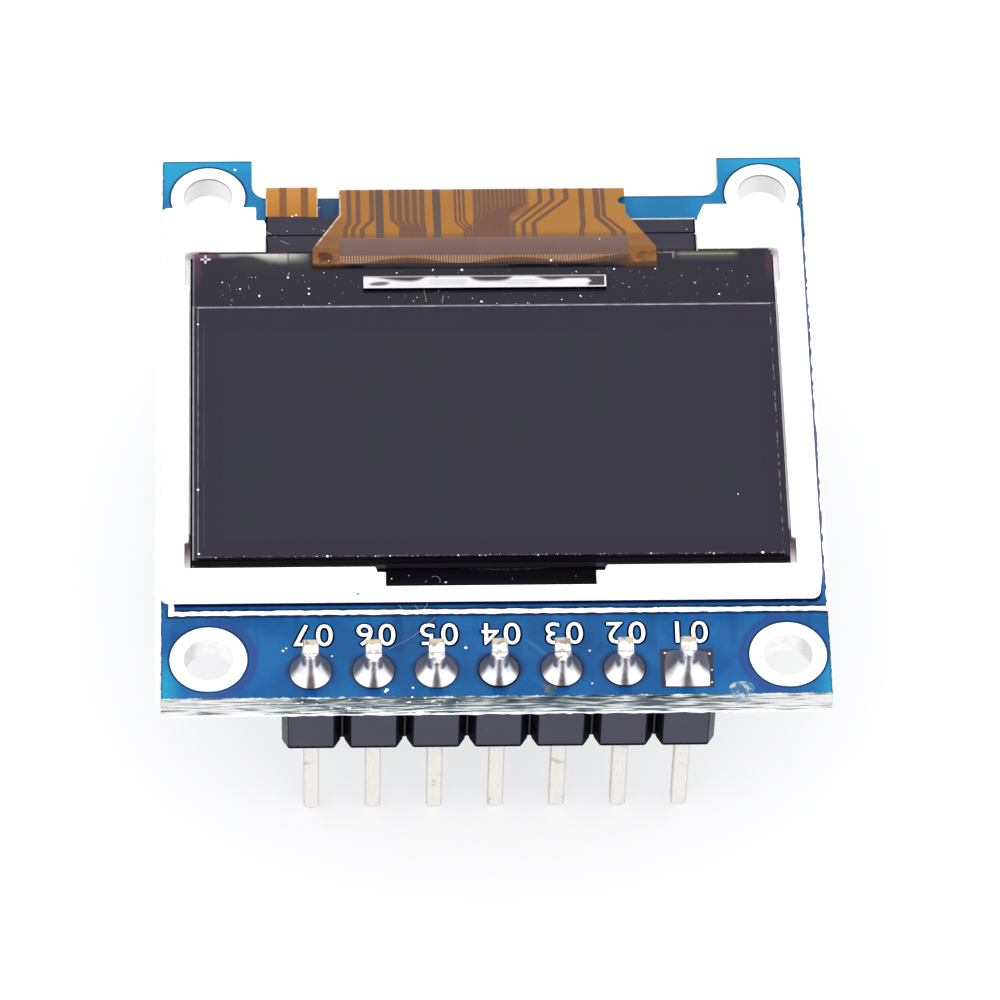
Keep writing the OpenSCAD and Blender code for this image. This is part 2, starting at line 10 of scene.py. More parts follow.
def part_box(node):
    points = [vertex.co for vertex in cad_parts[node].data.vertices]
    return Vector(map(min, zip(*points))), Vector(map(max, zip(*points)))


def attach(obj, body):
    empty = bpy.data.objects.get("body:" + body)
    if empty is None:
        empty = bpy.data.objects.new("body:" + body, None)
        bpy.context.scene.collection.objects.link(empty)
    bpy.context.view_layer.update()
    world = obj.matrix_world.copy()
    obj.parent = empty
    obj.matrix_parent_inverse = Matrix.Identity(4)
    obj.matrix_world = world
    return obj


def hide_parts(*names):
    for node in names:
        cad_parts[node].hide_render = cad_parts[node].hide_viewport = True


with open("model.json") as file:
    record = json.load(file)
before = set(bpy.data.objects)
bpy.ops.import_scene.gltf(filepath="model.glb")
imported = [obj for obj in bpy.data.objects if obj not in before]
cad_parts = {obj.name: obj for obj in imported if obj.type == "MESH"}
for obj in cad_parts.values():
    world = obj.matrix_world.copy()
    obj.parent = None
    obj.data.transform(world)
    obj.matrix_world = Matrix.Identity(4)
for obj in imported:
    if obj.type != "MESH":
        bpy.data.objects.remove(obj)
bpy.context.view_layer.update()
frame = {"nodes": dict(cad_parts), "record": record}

# Meshes are modelled in millimetres and scaled to metres when they are placed
MM = 0.001
# Points closer together than this are one
WELD = 0.0005
# Strength of the studio's white surroundings
LIGHT = 2.1


def node_box(node):
    """Lowest and highest corner of a CAD node, in millimetres."""
    low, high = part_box(node)
    return low / MM, high / MM


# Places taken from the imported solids
board_low, board_high = node_box("pcb")
frame_low, frame_high = node_box("backlight_frame")
array_low, array_high = node_box("array_glass")
filter_low, filter_high = node_box("filter_glass")
polarizer_low, polarizer_high = node_box("front_polarizer")
chip_low, chip_high = node_box("driver_chip")
flex_low, flex_high = node_box("display_flex")
tab_low, tab_high = node_box("backlight_flex")
tape_high = node_box("rim_tape")[1]
cover_low, cover_high = node_box("led_cover_tape")
flex_joints_low, flex_joints_high = node_box("flex_solder")
tab_joints_low, tab_joints_high = node_box("backlight_solder")
board_top = board_high.z
display_x = (frame_low.x + frame_high.x) / 2
pins = range(1, 8)
pin_boxes = {n: node_box(f"header_pin_{n}") for n in pins}
pin_centres = {n: (low + high) / 2 for n, (low, high) in pin_boxes.items()}
pin_pitch = pin_centres[1].x - pin_centres[2].x
pin_y = pin_centres[1].y
hole_mount = next(m for m in frame["record"]["mounts"] if m["name"] == "corner_holes")
hole_x = hole_mount["dims"]["spacing_x_mm"] / 2
hole_y = hole_mount["dims"]["spacing_y_mm"] / 2
hole_r = hole_mount["dims"]["hole_r_mm"]
# Outer radius of the plated rings, and the sides of the backlight flex's tab
ring_r = 1.575
tab_left, tab_right = -9.31, -7.11

# Printed outline round the display's place
legend_w = 0.205
legend_y = -9.61
legend_left = -13.28


# Node trees written as expressions

def colour(code):
    """A linear colour from a six-digit screen code."""
    parts = [int(code[i:i + 2], 16) / 255 for i in (0, 2, 4)]
    return (*[c / 12.92 if c <= 0.04045 else ((c + 0.055) / 1.055) ** 2.4 for c in parts], 1)


class Value:
    """A number on a node's socket. Arithmetic on it adds Math nodes."""

    def __init__(self, nodes, socket):
        self.nodes = nodes
        self.socket = socket

    def __add__(self, other):
        return self.nodes.math("ADD", self, other)

    def __sub__(self, other):
        return self.nodes.math("SUBTRACT", self, other)

    def __rsub__(self, other):
        return self.nodes.math("SUBTRACT", other, self)

    def __mul__(self, other):
        return self.nodes.math("MULTIPLY", self, other)

    def __truediv__(self, other):
        return self.nodes.math("DIVIDE", self, other)

    def __rtruediv__(self, other):
        return self.nodes.math("DIVIDE", other, self)

    def __pow__(self, other):
        return self.nodes.math("POWER", self, other)

    def __abs__(self):
        return self.nodes.math("ABSOLUTE", self)

    __radd__ = __add__
    __rmul__ = __mul__


class Nodes:
    """A node tree that expressions are added to."""

    def __init__(self, tree):
        self.tree = tree

    def node(self, kind, settings, inputs, output=0):
        """Adds a node: its settings first, then the values or links of its sockets."""
        made = self.tree.nodes.new(kind)
        for name, value in settings.items():
            setattr(made, name, value)
        for name, value in inputs.items():
            self.feed(made.inputs[name], value)
        return Value(self, made.outputs[output])

    def feed(self, socket, value):
        if isinstance(value, Value):
            self.tree.links.new(value.socket, socket)
        else:
            socket.default_value = value

    def math(self, operation, *values):
        return self.node("ShaderNodeMath", {"operation": operation}, dict(enumerate(values)))

    def most(self, *values):
        result = values[0]
        for value in values[1:]:
            result = self.math("MAXIMUM", result, value)
        return result

    def least(self, *values):
        result = values[0]
        for value in values[1:]:
            result = self.math("MINIMUM", result, value)
        return result

    def mix(self, factor, first, second):
        """A colour between two others."""
        return self.node("ShaderNodeMix", {"data_type": "RGBA"}, {0: factor, 6: first, 7: second}, 2)

    def step(self, value, low, high):
        """Rises smoothly from 0 at low to 1 at high."""
        return self.node(
            "ShaderNodeMapRange", {"interpolation_type": "SMOOTHSTEP"},
            {"Value": value, "From Min": low, "From Max": high})

    def within(self, value, low, high, soft):
        """One between low and high, zero outside, with soft ends."""
        return self.step(value, low - soft, low + soft) * (1 - self.step(value, high - soft, high + soft))

    def axes(self, vector):
        return [self.node("ShaderNodeSeparateXYZ", {}, {0: vector}, axis) for axis in "XYZ"]


class Finish(Nodes):
    """A material under construction, with positions in millimetres."""

    def __init__(self, name, shine=0.3, **constants):
        self.material = bpy.data.materials.new(name)
        self.material.use_nodes = True
        super().__init__(self.material.node_tree)
        self.shader = self.tree.nodes["Principled BSDF"]
        self.shine = shine
        self.set("Specular IOR Level", shine)
        place = self.node("ShaderNodeTexCoord", {}, {}, "Object")
        self.place = self.node("ShaderNodeVectorMath", {"operation": "SCALE"}, {0: place, "Scale": 1 / MM})
        self.x, self.y, self.z = self.axes(self.place)
        for socket, value in constants.items():
            self.set(socket.replace("_", " ").title(), value)

    def set(self, socket, value):
        self.feed(self.shader.inputs[socket], value)

    def seen(self, code):
        """The base colour that the studio light shows as this screen code, sheen included."""
        sheen = 0.08 * self.shine * LIGHT
        return (*[max(c - sheen, 0.001) / LIGHT for c in colour(code)[:3]], 1)

    def gloss(self, cover):
        """Leaves the sheen only where the cover is."""
        self.set("Specular IOR Level", 0.0)
        self.set("Coat Weight", cover * (2 * self.shine))

    def stretched(self, stretch):
        return self.node("ShaderNodeVectorMath", {"operation": "MULTIPLY"}, {0: self.place, 1: stretch})

    def cloud(self, scale, detail=2.0, stretch=(1, 1, 1)):
        """Soft variation from 0 to 1, with about that many features to a millimetre."""
        inputs = {"Vector": self.stretched(stretch), "Scale": scale, "Detail": detail}
        return self.node("ShaderNodeTexNoise", {}, inputs, "Fac")

    def cells(self, scale, stretch=(1, 1, 1)):
        """Distance to the nearest of scattered points."""
        inputs = {"Vector": self.stretched(stretch), "Scale": scale}
        return self.node("ShaderNodeTexVoronoi", {"feature": "F1"}, inputs, "Distance")

    def specks(self, scale, size, stretch=(1, 1, 1)):
        """Small scattered dots, one where a dot is."""
        return 1 - self.step(self.cells(scale, stretch), size * 0.6, size)

    def reach(self, x, y, wide=1.0, deep=1.0):
        """Distance from an upright line at x, y, as a share of an ellipse's half axes."""
        across = (self.x - x) / wide
        along = (self.y - y) / deep
        return (across * across + along * along) ** 0.5

    def spot(self, x, y, wide, deep):
        """One inside an ellipse, fading at its edge."""
        return 1 - self.step(self.reach(x, y, wide, deep), 0.75, 1.05)

    def over(self, tone, *coats):
        """A tone under coats, each a mask and its colour. A colour may be a screen code as it is seen."""
        tone = self.seen(tone) if isinstance(tone, str) else tone
        for mask, coat in coats:
            tone = self.mix(mask, tone, self.seen(coat) if isinstance(coat, str) else coat)
        return tone

    def done(self, tone, roughness, bumps=None, depth=0.0):
        """Sets the colour, the roughness and any bumps, of a depth in millimetres."""
        self.set("Base Color", tone)
        self.set("Roughness", roughness)
        if bumps:
            inputs = {"Height": bumps, "Strength": 1.0, "Distance": depth * MM}
            self.set("Normal", self.node("ShaderNodeBump", {}, inputs, "Normal"))
        return self


# Masks that several finishes use

def from_holes(finish, end):
    """Distance from the nearer corner hole at the front (-1) or the rear (1)."""
    return finish.least(*[finish.reach(side * hole_x, end * hole_y) for side in (-1, 1)])


def across_pins(finish):
    """Distance in x from the nearest pin's axis."""
    return finish.math("PINGPONG", finish.x, pin_pitch / 2)


def finger_wave(finish):
    """A wave across the flex, with one period to each conductor."""
    return finish.math("SINE", finish.x * (2 * math.pi / finger_pitch))


def on_fold(finish):
    """One where the flex turns round the board's edge."""
    return finish.step(finish.y, flex_high.y - 0.22, flex_high.y - 0.02)


# Finishes of the board

def board_finish():
    """Blue solder mask over copper on both faces, torn glass fibre along the cut edges, with painted shade
    between the flexes and under and beside the display frame.
    """
    finish = Finish("board_mask_and_fibre", shine=0.12)
    least, mix, most, over = finish.least, finish.mix, finish.most, finish.over
    step, within = finish.step, finish.within
    x, y, z = finish.x, finish.y, finish.z
    grain = finish.cloud(0.6, 3)
    fine = finish.cloud(9, 2)
    front = step(z, board_top - 0.02, board_top - 0.012)
    rear = 1 - step(z, 0.012, 0.02)

    # The mask looks lighter towards the outer corners, darker at its cut edges
    outer = step(abs(x), 12.6, 13.6) * step(-1 * y, 11, 13.5) * 0.8
    ear = step(abs(x) * 0.35 + y, 15.0, 18.3) * 0.8
    ear = most(ear, step(y, 9.5, 10.2) * 0.25)
    from_cut = least(board_high.x - x, board_high.y - y, x - board_low.x)
    cut_line = 1 - step(from_cut, 0.05, 0.1)
    recess_line = within(y, recess_y - 0.08, recess_y, 0.02) * (1 - step(abs(x), 9.4, 9.6))
    # Painted shade on the mask between the two flexes
    shade_between_flexes = within(x, tab_right, flex_left, 0.1) * step(y, 9.9, 10.3)
    blue = over(
        "246AAE", (step(grain, 0.35, 0.7), "307ABE"), (most(outer, ear), "34BAE6"),
        (most(cut_line, recess_line) * 0.7, "1A4A7C"), (shade_between_flexes * front, "3D5E83"))

    # Copper-free gaps and buried tracks
    front_holes = from_holes(finish, -1)
    rear_holes = from_holes(finish, 1)
    ring_gap = within(front_holes, 1.72, 2.0, 0.07) * step(hole_x - abs(x), -0.9, 0.5)
    ring_line = within(least(front_holes, rear_holes), ring_r - 0.05, ring_r + 0.09, 0.025)
    stripes = step(finish.cloud(0.9, 1, (1, 0.02, 0)), 0.5, 0.58) * within(y, -11.6, -8, 0.4)
    slant_along = (x - 1.17) * 0.72 - (y + 11.04) * 0.69
    slant_across = (x - 1.17) * 0.69 + (y + 11.04) * 0.72
    slant = within(slant_across, -0.08, 0.08, 0.03) * within(slant_along, 0, 1.15, 0.05)
    navy = finish.spot(-3.4, -10.8, 2.2, 1.1) * step(fine * 0.4 + grain, 0.45, 0.9)
    blue = over(
        blue, (stripes * 0.3 + navy * 0.45, "2A4A86"), (ring_gap * 0.8, "3E5AA2"), (slant * 0.7, "3C8CCB"),
        (ring_line * 0.9, "173A70"))

    # Round the pins: a bare gap, widest behind them, and the straps to the front edge
    joints = least(*[finish.reach(pin_centres[n].x, pin_y) for n in pins if n > 1])
    halo = (1 - step(joints, 0.84, 1.12)) * (0.4 + step(y - pin_y, -0.6, 0.4) * 0.55)
    joint_line = 1 - step(joints, 0.85, 0.91)
    from_pin = across_pins(finish)
    straps = (1 - step(from_pin, 0.22, 0.3)) * (1 - step(y, -13.35, -13.2))
    straps = straps * (1 - step(abs(x), 8.4, 8.6))
    blue = over(blue, (straps * 0.6, "0E5AA6"), (halo, "33406E"), (joint_line * 0.9, "0B1228"))

    # Dark outlines at the legend, and painted shade in the gap under the display frame and round its corner
    from_legend = abs(y - legend_y + (finish.cloud(3.5, 2) - 0.5) * 0.1)
    beside_legend = 1 - step(from_legend, legend_w / 2 + 0.1, legend_w / 2 + 0.14)
    beside_legend = beside_legend * step(x, legend_left - 0.22, legend_left - 0.18)
    shade_under_frame = within(y, frame_low.y - 0.03, frame_low.y + 0.6, 0.03)
    corner_x = frame_high.x - 0.35
    shade_under_frame = shade_under_frame * within(x, legend_left - 0.05, corner_x - 0.35, 0.05)
    shade_round_corner = 1 - step(finish.reach(corner_x, frame_low.y + 0.35), 0.37, 0.47)
    shade_round_corner = shade_round_corner * step(x, corner_x - 0.4, corner_x - 0.3)
    outlines_and_shade = most(beside_legend * 0.8, shade_under_frame * 0.95, shade_round_corner * 0.9)
    # Painted shade of the frame in a purple strip beside its right side
    shade_beside_frame = step(x, frame_high.x - 0.6, frame_high.x) * within(y, -8.3, 9.4, 0.3)
    blue = over(
        blue, (outlines_and_shade * front, "081A4E"), (shade_beside_frame * front * 0.9, "6E7A9C"),
        (finish.specks(0.55, 0.03), "B4D4EA"))

    # Torn fibres along the outline: dark gaps under the mask, white frays towards the rear face
    depth = board_top - z
    at_front = 1 - step(y - board_low.y, 0.2, 0.4)
    chips = finish.cloud(5, 3)
    from_side = least(x - board_low.x, board_high.x - x)
    torn = most(
        1 - step(y - board_low.y, chips * 0.2 - 0.08, chips * 0.2 - 0.03),
        1 - step(from_side, chips * 0.1 - 0.05, chips * 0.1 - 0.02))
    cut = most(1 - most(front, rear), torn)
    streak = mix(at_front, finish.cloud(2.2, 4, (5, 0.5, 9)), finish.cloud(1.6, 4, (0.45, 1, 6)))
    dashes = mix(at_front, finish.cloud(3, 3, (5, 0.8, 6)), finish.cloud(2.6, 3, (0.55, 1, 4.5)))
    ends = step(abs(x), 7.5, 11.5)
    gaps = mix(at_front, finish.seen("A9B6BA"), finish.seen("6E8088"))
    teal = step(finish.cloud(0.5, 2, (0.7, 1, 1)), 0.4, 0.62) * (1 - step(depth, 0.35, 0.8))
    # Darker dashes near the top of the cut, fewer towards the ends
    dark_top_dashes = step(dashes, 0.48, 0.57) * (1 - step(depth, 0.22, 0.55)) * (1 - ends * 0.7)
    frayed = step(depth, 0.7, 1.05) * step(streak, 0.42, 0.55)
    burr = step(finish.cloud(3.2, 3, (1, 1, 1.6)), 0.62, 0.68) * within(x, -9.5, -2, 1.5)
    fibre = over(
        gaps, (step(streak + ends * 0.05, 0.45, 0.6), colour("D2D8DA")), (teal * 0.4, "6A8C92"),
        (dark_top_dashes * at_front * 0.8, "333C3E"), (frayed * 0.5, colour("F4F7F8")),
        (ends * step(streak, 0.3, 0.5) * 0.6, colour("E0DEDC")), (burr, colour("FFFFFF")))

    return finish.done(
        mix(cut, blue, fibre), 0.22 + cut * 0.5 + fine * 0.08,
        streak * cut * (0.6 + at_front * 0.9) + grain * 0.2 * (1 - cut), 0.05)


def tin_finish():
    """Bright plating with a faint ripple, with painted shade inside the rear holes and a painted dark
    reflection round their upper rims.
    """
    finish = Finish("tin_plating", metallic=1.0)
    step = finish.step
    wave = finish.cloud(3, 2)
    from_hole = from_holes(finish, 1)
    # Painted shade inside the rear holes
    hole_wall_shade = 1 - step(from_hole, hole_r - 0.02, hole_r + 0.01)
    # Painted dark reflection in a band round the top of each rear hole
    lip = hole_wall_shade * step(finish.z, board_top - 0.14, board_top - 0.06)
    tone = finish.over(
        colour("F9F8F6"), (step(wave, 0.4, 0.8), colour("EFECE8")), (hole_wall_shade, colour("ECEBE8")))
    return finish.done(finish.mix(lip * 0.8, tone, colour("8A8A86")), 0.25 + wave * 0.15, wave, 0.006)


def solder_finish():
    """Bright solder; on the pins two white lobes round a painted brown reflection streak, with painted dark
    reflection behind, and painted shade at the neck and at the foot.
    """
    finish = Finish("bright_solder", metallic=0.45)
    step = finish.step
    lumps = finish.cloud(1.6, 1)
    from_axis = across_pins(finish) + (finish.cloud(2.5, 2) - 0.5) * 0.12
    behind = finish.y - pin_y
    out = (from_axis * from_axis + behind * behind) ** 0.5
    on_pins = step(finish.z, board_top - 0.05, board_top)
    rise = finish.z - board_top
    # Painted dark reflection of the board on the sides and back of each joint
    rear_side_reflection = step(behind / out, -0.62, -0.1) * step(rise, -0.02, 0.06) * 0.85
    # Painted brown reflection in a streak down the front of each joint
    streak = (1 - step(from_axis / out, 0.06, 0.38)) * (1 - step(behind / out, -0.6, -0.4))
    brown = finish.mix(step(rise, 0.1, 0.5), finish.seen("5A2E22"), finish.seen("6A6268"))
    # Painted shade at the neck, where the cone meets the pin
    neck_shade = (1 - step(out, 0.4, 0.47)) * step(from_axis, 0.12, 0.24)
    streak = streak * (0.7 + finish.cloud(6, 3) * 0.35)
    tone = finish.over(
        colour("D8D6D8"), (lumps, colour("F2F1F3")), (streak * on_pins * 0.95, brown),
        (finish.most(rear_side_reflection, neck_shade * 0.8) * on_pins, "3C3A52"))
    # Painted shade in a dark band round the foot of each joint
    foot = finish.within(finish.z, board_top - 0.05, board_top + 0.05, 0.015)
    return finish.done(finish.mix(foot * 0.85, tone, colour("1C1B28")), 0.16 + lumps * 0.1, lumps, 0.012)


def pin_finish(n):
    """Satin tin, drawn along the pin: bare metal at the cropped top, wet with solder above the joint,
    painted shade along its edges below the board and a painted white glow on the stub.
    """
    finish = Finish(f"drawn_pin_{n}", shine=0.5, metallic=0.3, emission_strength=0.35)
    step = finish.step
    drawn = finish.cloud(6, 3, (3, 3, 0.3))
    nicks = step(finish.cloud(1.3, 3), 0.62, 0.7)
    top = pin_boxes[n][1].z
    cropped = step(finish.z, top - 0.1, top - 0.02)
    rear_half = step(finish.y - pin_y + (finish.cloud(4, 3) - 0.5) * 0.6, -0.1, 0.05)
    bare = cropped * rear_half
    from_axis = abs(finish.x - pin_centres[n].x)
    stub = step(finish.z, board_top - 0.1, board_top)
    wet_top = board_top + JOINTS[n][0] + 0.1
    wet = 1 - step(finish.z - from_axis * from_axis * 2.5, wet_top, wet_top + 0.12)
    wet = wet * stub * step(from_axis, 0.08, 0.26)
    # Painted shade along the pin's edges below the board
    edge = step(from_axis, 0.24, 0.31) * (1 - stub)
    corner = step(from_axis, 0.27, 0.32) * stub * 0.5
    under_crop = finish.within(finish.z, top - 0.18, top - 0.1, 0.02) * step(drawn, 0.3, 0.5)
    smudges = step(finish.cloud(3.5, 3), 0.5, 0.62) * stub * 0.6
    under_crop = finish.most(under_crop * 0.7, smudges)
    tone = finish.over(
        colour("D2CEC8"), (drawn, colour("EAE7E3")), (nicks * 0.35, "B4AA9C"),
        (edge * 0.45, colour("8E8A86")), (bare * 0.85, "DCC9B2"), (wet * 0.85, "4A5F85"),
        (corner, "9AA4B8"), (under_crop, "8A7A6A"))
    # Painted glow: the stub glows white, except where it is wet, cropped, at its corners and under the crop
    lit = stub * (1 - wet) * (1 - bare) * (1 - finish.most(corner, under_crop))
    finish.set("Emission Color", finish.mix(lit, colour("000000"), colour("FFFFFF")))
    return finish.done(tone, 0.32 + drawn * 0.2, drawn + nicks, 0.012)


def header_finish():
    """Black moulded plastic: a lighter painted tone and a grey sheen on its flat faces, a painted sheen on
    its ends, painted black shade on its bevels, feet and slits.
    """
    finish = Finish("moulded_header", shine=0.42, coat_roughness=0.3)
    mix, step = finish.mix, finish.step
    grain = finish.cloud(14, 2)
    dust = finish.specks(1.5, 0.06)
    from_pin = across_pins(finish)
    above_foot = step(finish.z, -2.4, -2.3)
    flat = (1 - step(from_pin, 0.88, 0.93)) * above_foot
    # Painted sheen on the ends: a lighter tone and more gloss
    ends = step(abs(finish.x), 8.52, 8.6) * above_foot * (0.5 + finish.cloud(2.5, 3) * 0.5)
    web = step(from_pin, 1.225, 1.25) * step(abs(finish.y - pin_y), 0.5, 0.7)
    base = mix(finish.cloud(1.2, 2), colour("201F34"), colour("29283F"))
    # Painted shade: bevels, feet and slits take a black copy of the plastic, the flat faces a lighter one
    base = mix(flat, colour("07060B"), base)
    base = finish.over(base, (web * 0.7, colour("4C4B4C")), (ends * 0.8, colour("6A6872")))
    finish.gloss(finish.most(0.08 + flat * 0.92, ends * 0.6))
    return finish.done(
        mix(dust * flat * 0.6, base, colour("7C7B84")), 0.36 + grain * 0.2, grain, 0.01)


def ink_finish():
    """White legend ink, broken at its edges."""
    finish = Finish("legend_ink")
    grain = finish.cloud(12, 3)
    return finish.done(
        finish.mix(finish.step(grain, 0.6, 0.8), colour("FBFBFB"), colour("C9D5E2")), 0.5 + grain * 0.2,
        grain, 0.01)


# Finishes of the display

def frame_finish():
    """White moulded plastic with a painted white glow, painted shade in the reliefs, brown in the front
    ones, at the front of the arms and along its left edge.
    """
    finish = Finish("white_frame", shine=0.4, emission_strength=0.3)
    step, within = finish.step, finish.within
    cloud = finish.cloud(0.5, 3)
    grain = finish.cloud(10, 2)
    specks = finish.specks(0.3, 0.02)
    from_middle = abs(finish.x - display_x)
    sunk = within(from_middle, 12.13, 12.53, 0.03) * (1 - step(finish.z, 2.6, 2.79))
    # Painted shade in the sunk reliefs, brown and darkest towards the rear in the front ones
    front_relief_shade = sunk * within(finish.y, -8.5, -6.4, 0.1)
    rear_relief_shade = sunk * step(finish.y, 5.7, 6.0)
    shade = finish.mix(step(finish.y, -8.1, -7.2), colour("D6CFD2"), colour("5E4B49"))
    # Painted shade at the front of each arm
    arm_front_shade = within(from_middle, 11.3, 12.3, 0.25) * step(finish.y, 7.6, 7.7)
    arm_front_shade = arm_front_shade * (1 - step(finish.y, 7.72, 8.05))
    # Painted shade in a grey line along the left edge
    left_edge_shade = (1 - step(finish.x - frame_low.x, 0.03, 0.06)) * (0.5 + grain * 0.35)
    mark = finish.spot(-5.67, frame_low.y, 0.05, 1) * within(finish.z, 1.9, 2.1, 0.04)
    tone = finish.over(
        colour("FFFFFF"), (step(cloud, 0.4, 0.75), colour("F8F8FA")), (front_relief_shade * 0.9, shade),
        (rear_relief_shade * 0.8, colour("D2CED2")), (arm_front_shade * 0.6, colour("6E646A")),
        (left_edge_shade, colour("3E4246")), (finish.most(specks * 0.4, mark), colour("6F8492")))
    # Painted glow: the plastic glows in its own tone
    finish.set("Emission Color", tone)
    return finish.done(tone, 0.42 + grain * 0.15, grain, 0.006)


def ledge_finish():
    """Dark array glass: pink rear corners, a pale painted sheen at its rear edge, a frosted patch, painted
    shade along its rear edge and a painted highlight along its left edge.
    """
    finish = Finish("array_glass_ledge", shine=0.12)
    over, step, within = finish.over, finish.step, finish.within
    x, y = finish.x, finish.y
    cloud = finish.cloud(0.8, 3)
    from_rear = array_high.y - y
    corner_pink = (1 - step(from_rear, 0.05, 0.4)) * (1 - step(x, -11.6, -11.2))
    left_pink = (1 - step(x - array_low.x, 0.1, 0.5)) * step(y, 5.6, 6.9)
    right_pink = (1 - step(array_high.x - x, 0.05, 0.4)) * step(y, 5.7, 6.8)
    tone = over(
        "38363F", (cloud, "3C3A44"), (left_pink * 0.6, "71506A"), (right_pink * 0.5, "6A4A60"),
        (corner_pink * 0.8, "8A5C78"))

    # Painted sheen: a broad patch at the left, cut by a dark line, with green and olive tints, and a thin
    # one at the right
    deep = 0.24 + 0.08 * (1 - step(x, -11, -10.2)) + 0.46 * step(x, -10.1, -8.9)
    fall = 1 - step((from_rear - 0.02) / deep, 0.0, 1.0)
    level = 0.55 + 0.45 * step(x, -10.3, -9.4) - 0.3 * step(x, -8.42, -8.34)
    level = level - 0.6 * step(x, -8.4, -7.3)
    sheen = within(x, -11.25, -7.5, 0.15) * fall ** 1.5 * finish.most(level, 0.0)
    green = within(x, -8.8, -8.42, 0.05)
    dark_line = within(x, -8.42, -8.36, 0.015)
    olive = within(x, -10.5, -7.6, 0.6) * (1 - step(from_rear, 0.2, 1.3))
    thin = within(from_rear, 0.12, 0.24, 0.05) * 0.8 + (1 - step(from_rear, 0.15, 0.7)) * 0.25
    tone = over(
        tone, (sheen * (1 - dark_line * 0.8), "EDF2E6"), (green * fall * 0.45, "A9C29A"),
        (olive * 0.12, "7C8470"), (thin * within(x, 7.93, 10.4, 0.2) * 0.7, "A4A48E"))

    # Outline of the frosted patch, worn
    patch = finish.most(
        within(x, 7.1, 7.81, 0.03) * within(y, 7.48, 7.56, 0.02),
        within(x, 7.72, 7.81, 0.02) * within(y, 7.2, 7.56, 0.04))
    worn = step(finish.cloud(5, 3), 0.35, 0.6)
    # Painted shade along the rear edge
    rear_edge_shade = 1 - step(from_rear, 0.02, 0.05)
    tone = over(tone, (patch * worn * 0.6, "B8B8BC"), (rear_edge_shade * 0.8, "2A1622"))
    # Painted highlight along the left edge
    edge = 1 - step(x - array_low.x, 0.05, 0.08)
    return finish.done(finish.mix(edge * 0.35, tone, finish.seen("B2B0B8")), 0.1 + cloud * 0.08)


def cell_finish():
    """Filter glass with a purple border, painted highlights along its left and rear edges, painted black
    shade on its front face.
    """
    finish = Finish("filter_glass", shine=0.2, coat_roughness=0.14)
    step = finish.step
    cloud = finish.cloud(2, 3)
    upper = step(finish.z, filter_high.z - 0.04, filter_high.z - 0.02)
    left = 1 - step(finish.x - filter_low.x, 0.05, 0.08)
    from_rear = filter_high.y - finish.y
    rear = 1 - step(from_rear, 0.06, 0.12)
    # Painted highlights along the rear and left edges
    tone = finish.over(
        "3B3648", (cloud, "413C4E"), (upper * finish.within(from_rear, 0.1, 0.24, 0.03), "2E2B35"),
        (rear * 0.9, "6E6C76"), (upper * left * (0.5 + cloud * 0.5), "C4C2C8"))
    # Painted shade: the front face black and almost without sheen
    front_face_shade = 1 - step(finish.y - filter_low.y, 0.06, 0.1)
    finish.gloss(1 - front_face_shade * 0.9)
    return finish.done(finish.mix(front_face_shade, tone, colour("0E0B0E")), 0.12 + cloud * 0.06)


def polarizer_finish():
    """Dark polarizer film: a greyer picture area, a purple border, bright broken rims and painted black
    shade on its sides.
    """
    finish = Finish("polarizer_film", shine=0.2, coat_roughness=0.2)
    step, within = finish.step, finish.within
    x, y = finish.x, finish.y
    columns = finish.cloud(7, 1, (1, 0.02, 0.02))
    cloud = finish.cloud(0.25, 2)
    picture = within(x, -11.17, 10.95, 0.15) * within(y, -7.4, 3.05, 0.15)
    upper = step(finish.z, polarizer_high.z - 0.03, polarizer_high.z - 0.015)
    broken = step(finish.cloud(1.6, 4), 0.4, 0.6)
    dotted = step(finish.cloud(5, 3), 0.48, 0.6)
    rear_rim = 1 - step(polarizer_high.y - y, 0.05, 0.08)
    right_rim = 1 - step(polarizer_high.x - x, 0.04, 0.07)
    left_rim = 1 - step(x - polarizer_low.x, 0.04, 0.07)
    front_rim = 1 - step(y - polarizer_low.y, 0.04, 0.07)
    rims = finish.most(
        rear_rim * (0.6 + broken * 0.35), right_rim * dotted * 0.35,
        left_rim * (0.15 + broken * 0.2), front_rim * dotted * 0.15)
    inner = within(x - polarizer_low.x, 0.25, 0.29, 0.02) * within(y, -7.7, 3.4, 0.3)
    tone = finish.over(
        "3C3849", (picture, "3B3C45"), (picture * step(columns, 0.3, 0.7), "3E3C46"),
        (cloud * 0.5, "3B3846"), (inner * 0.45 * step(finish.cloud(0.6, 3), 0.3, 0.5), "6A6676"),
        (rims * upper, "C8C6CC"))
    # Painted shade: the sides black and almost without sheen
    finish.gloss(0.1 + upper * 0.9)
    return finish.done(finish.mix(1 - upper, tone, colour("0E0B0E")), 0.2 + picture * 0.04)


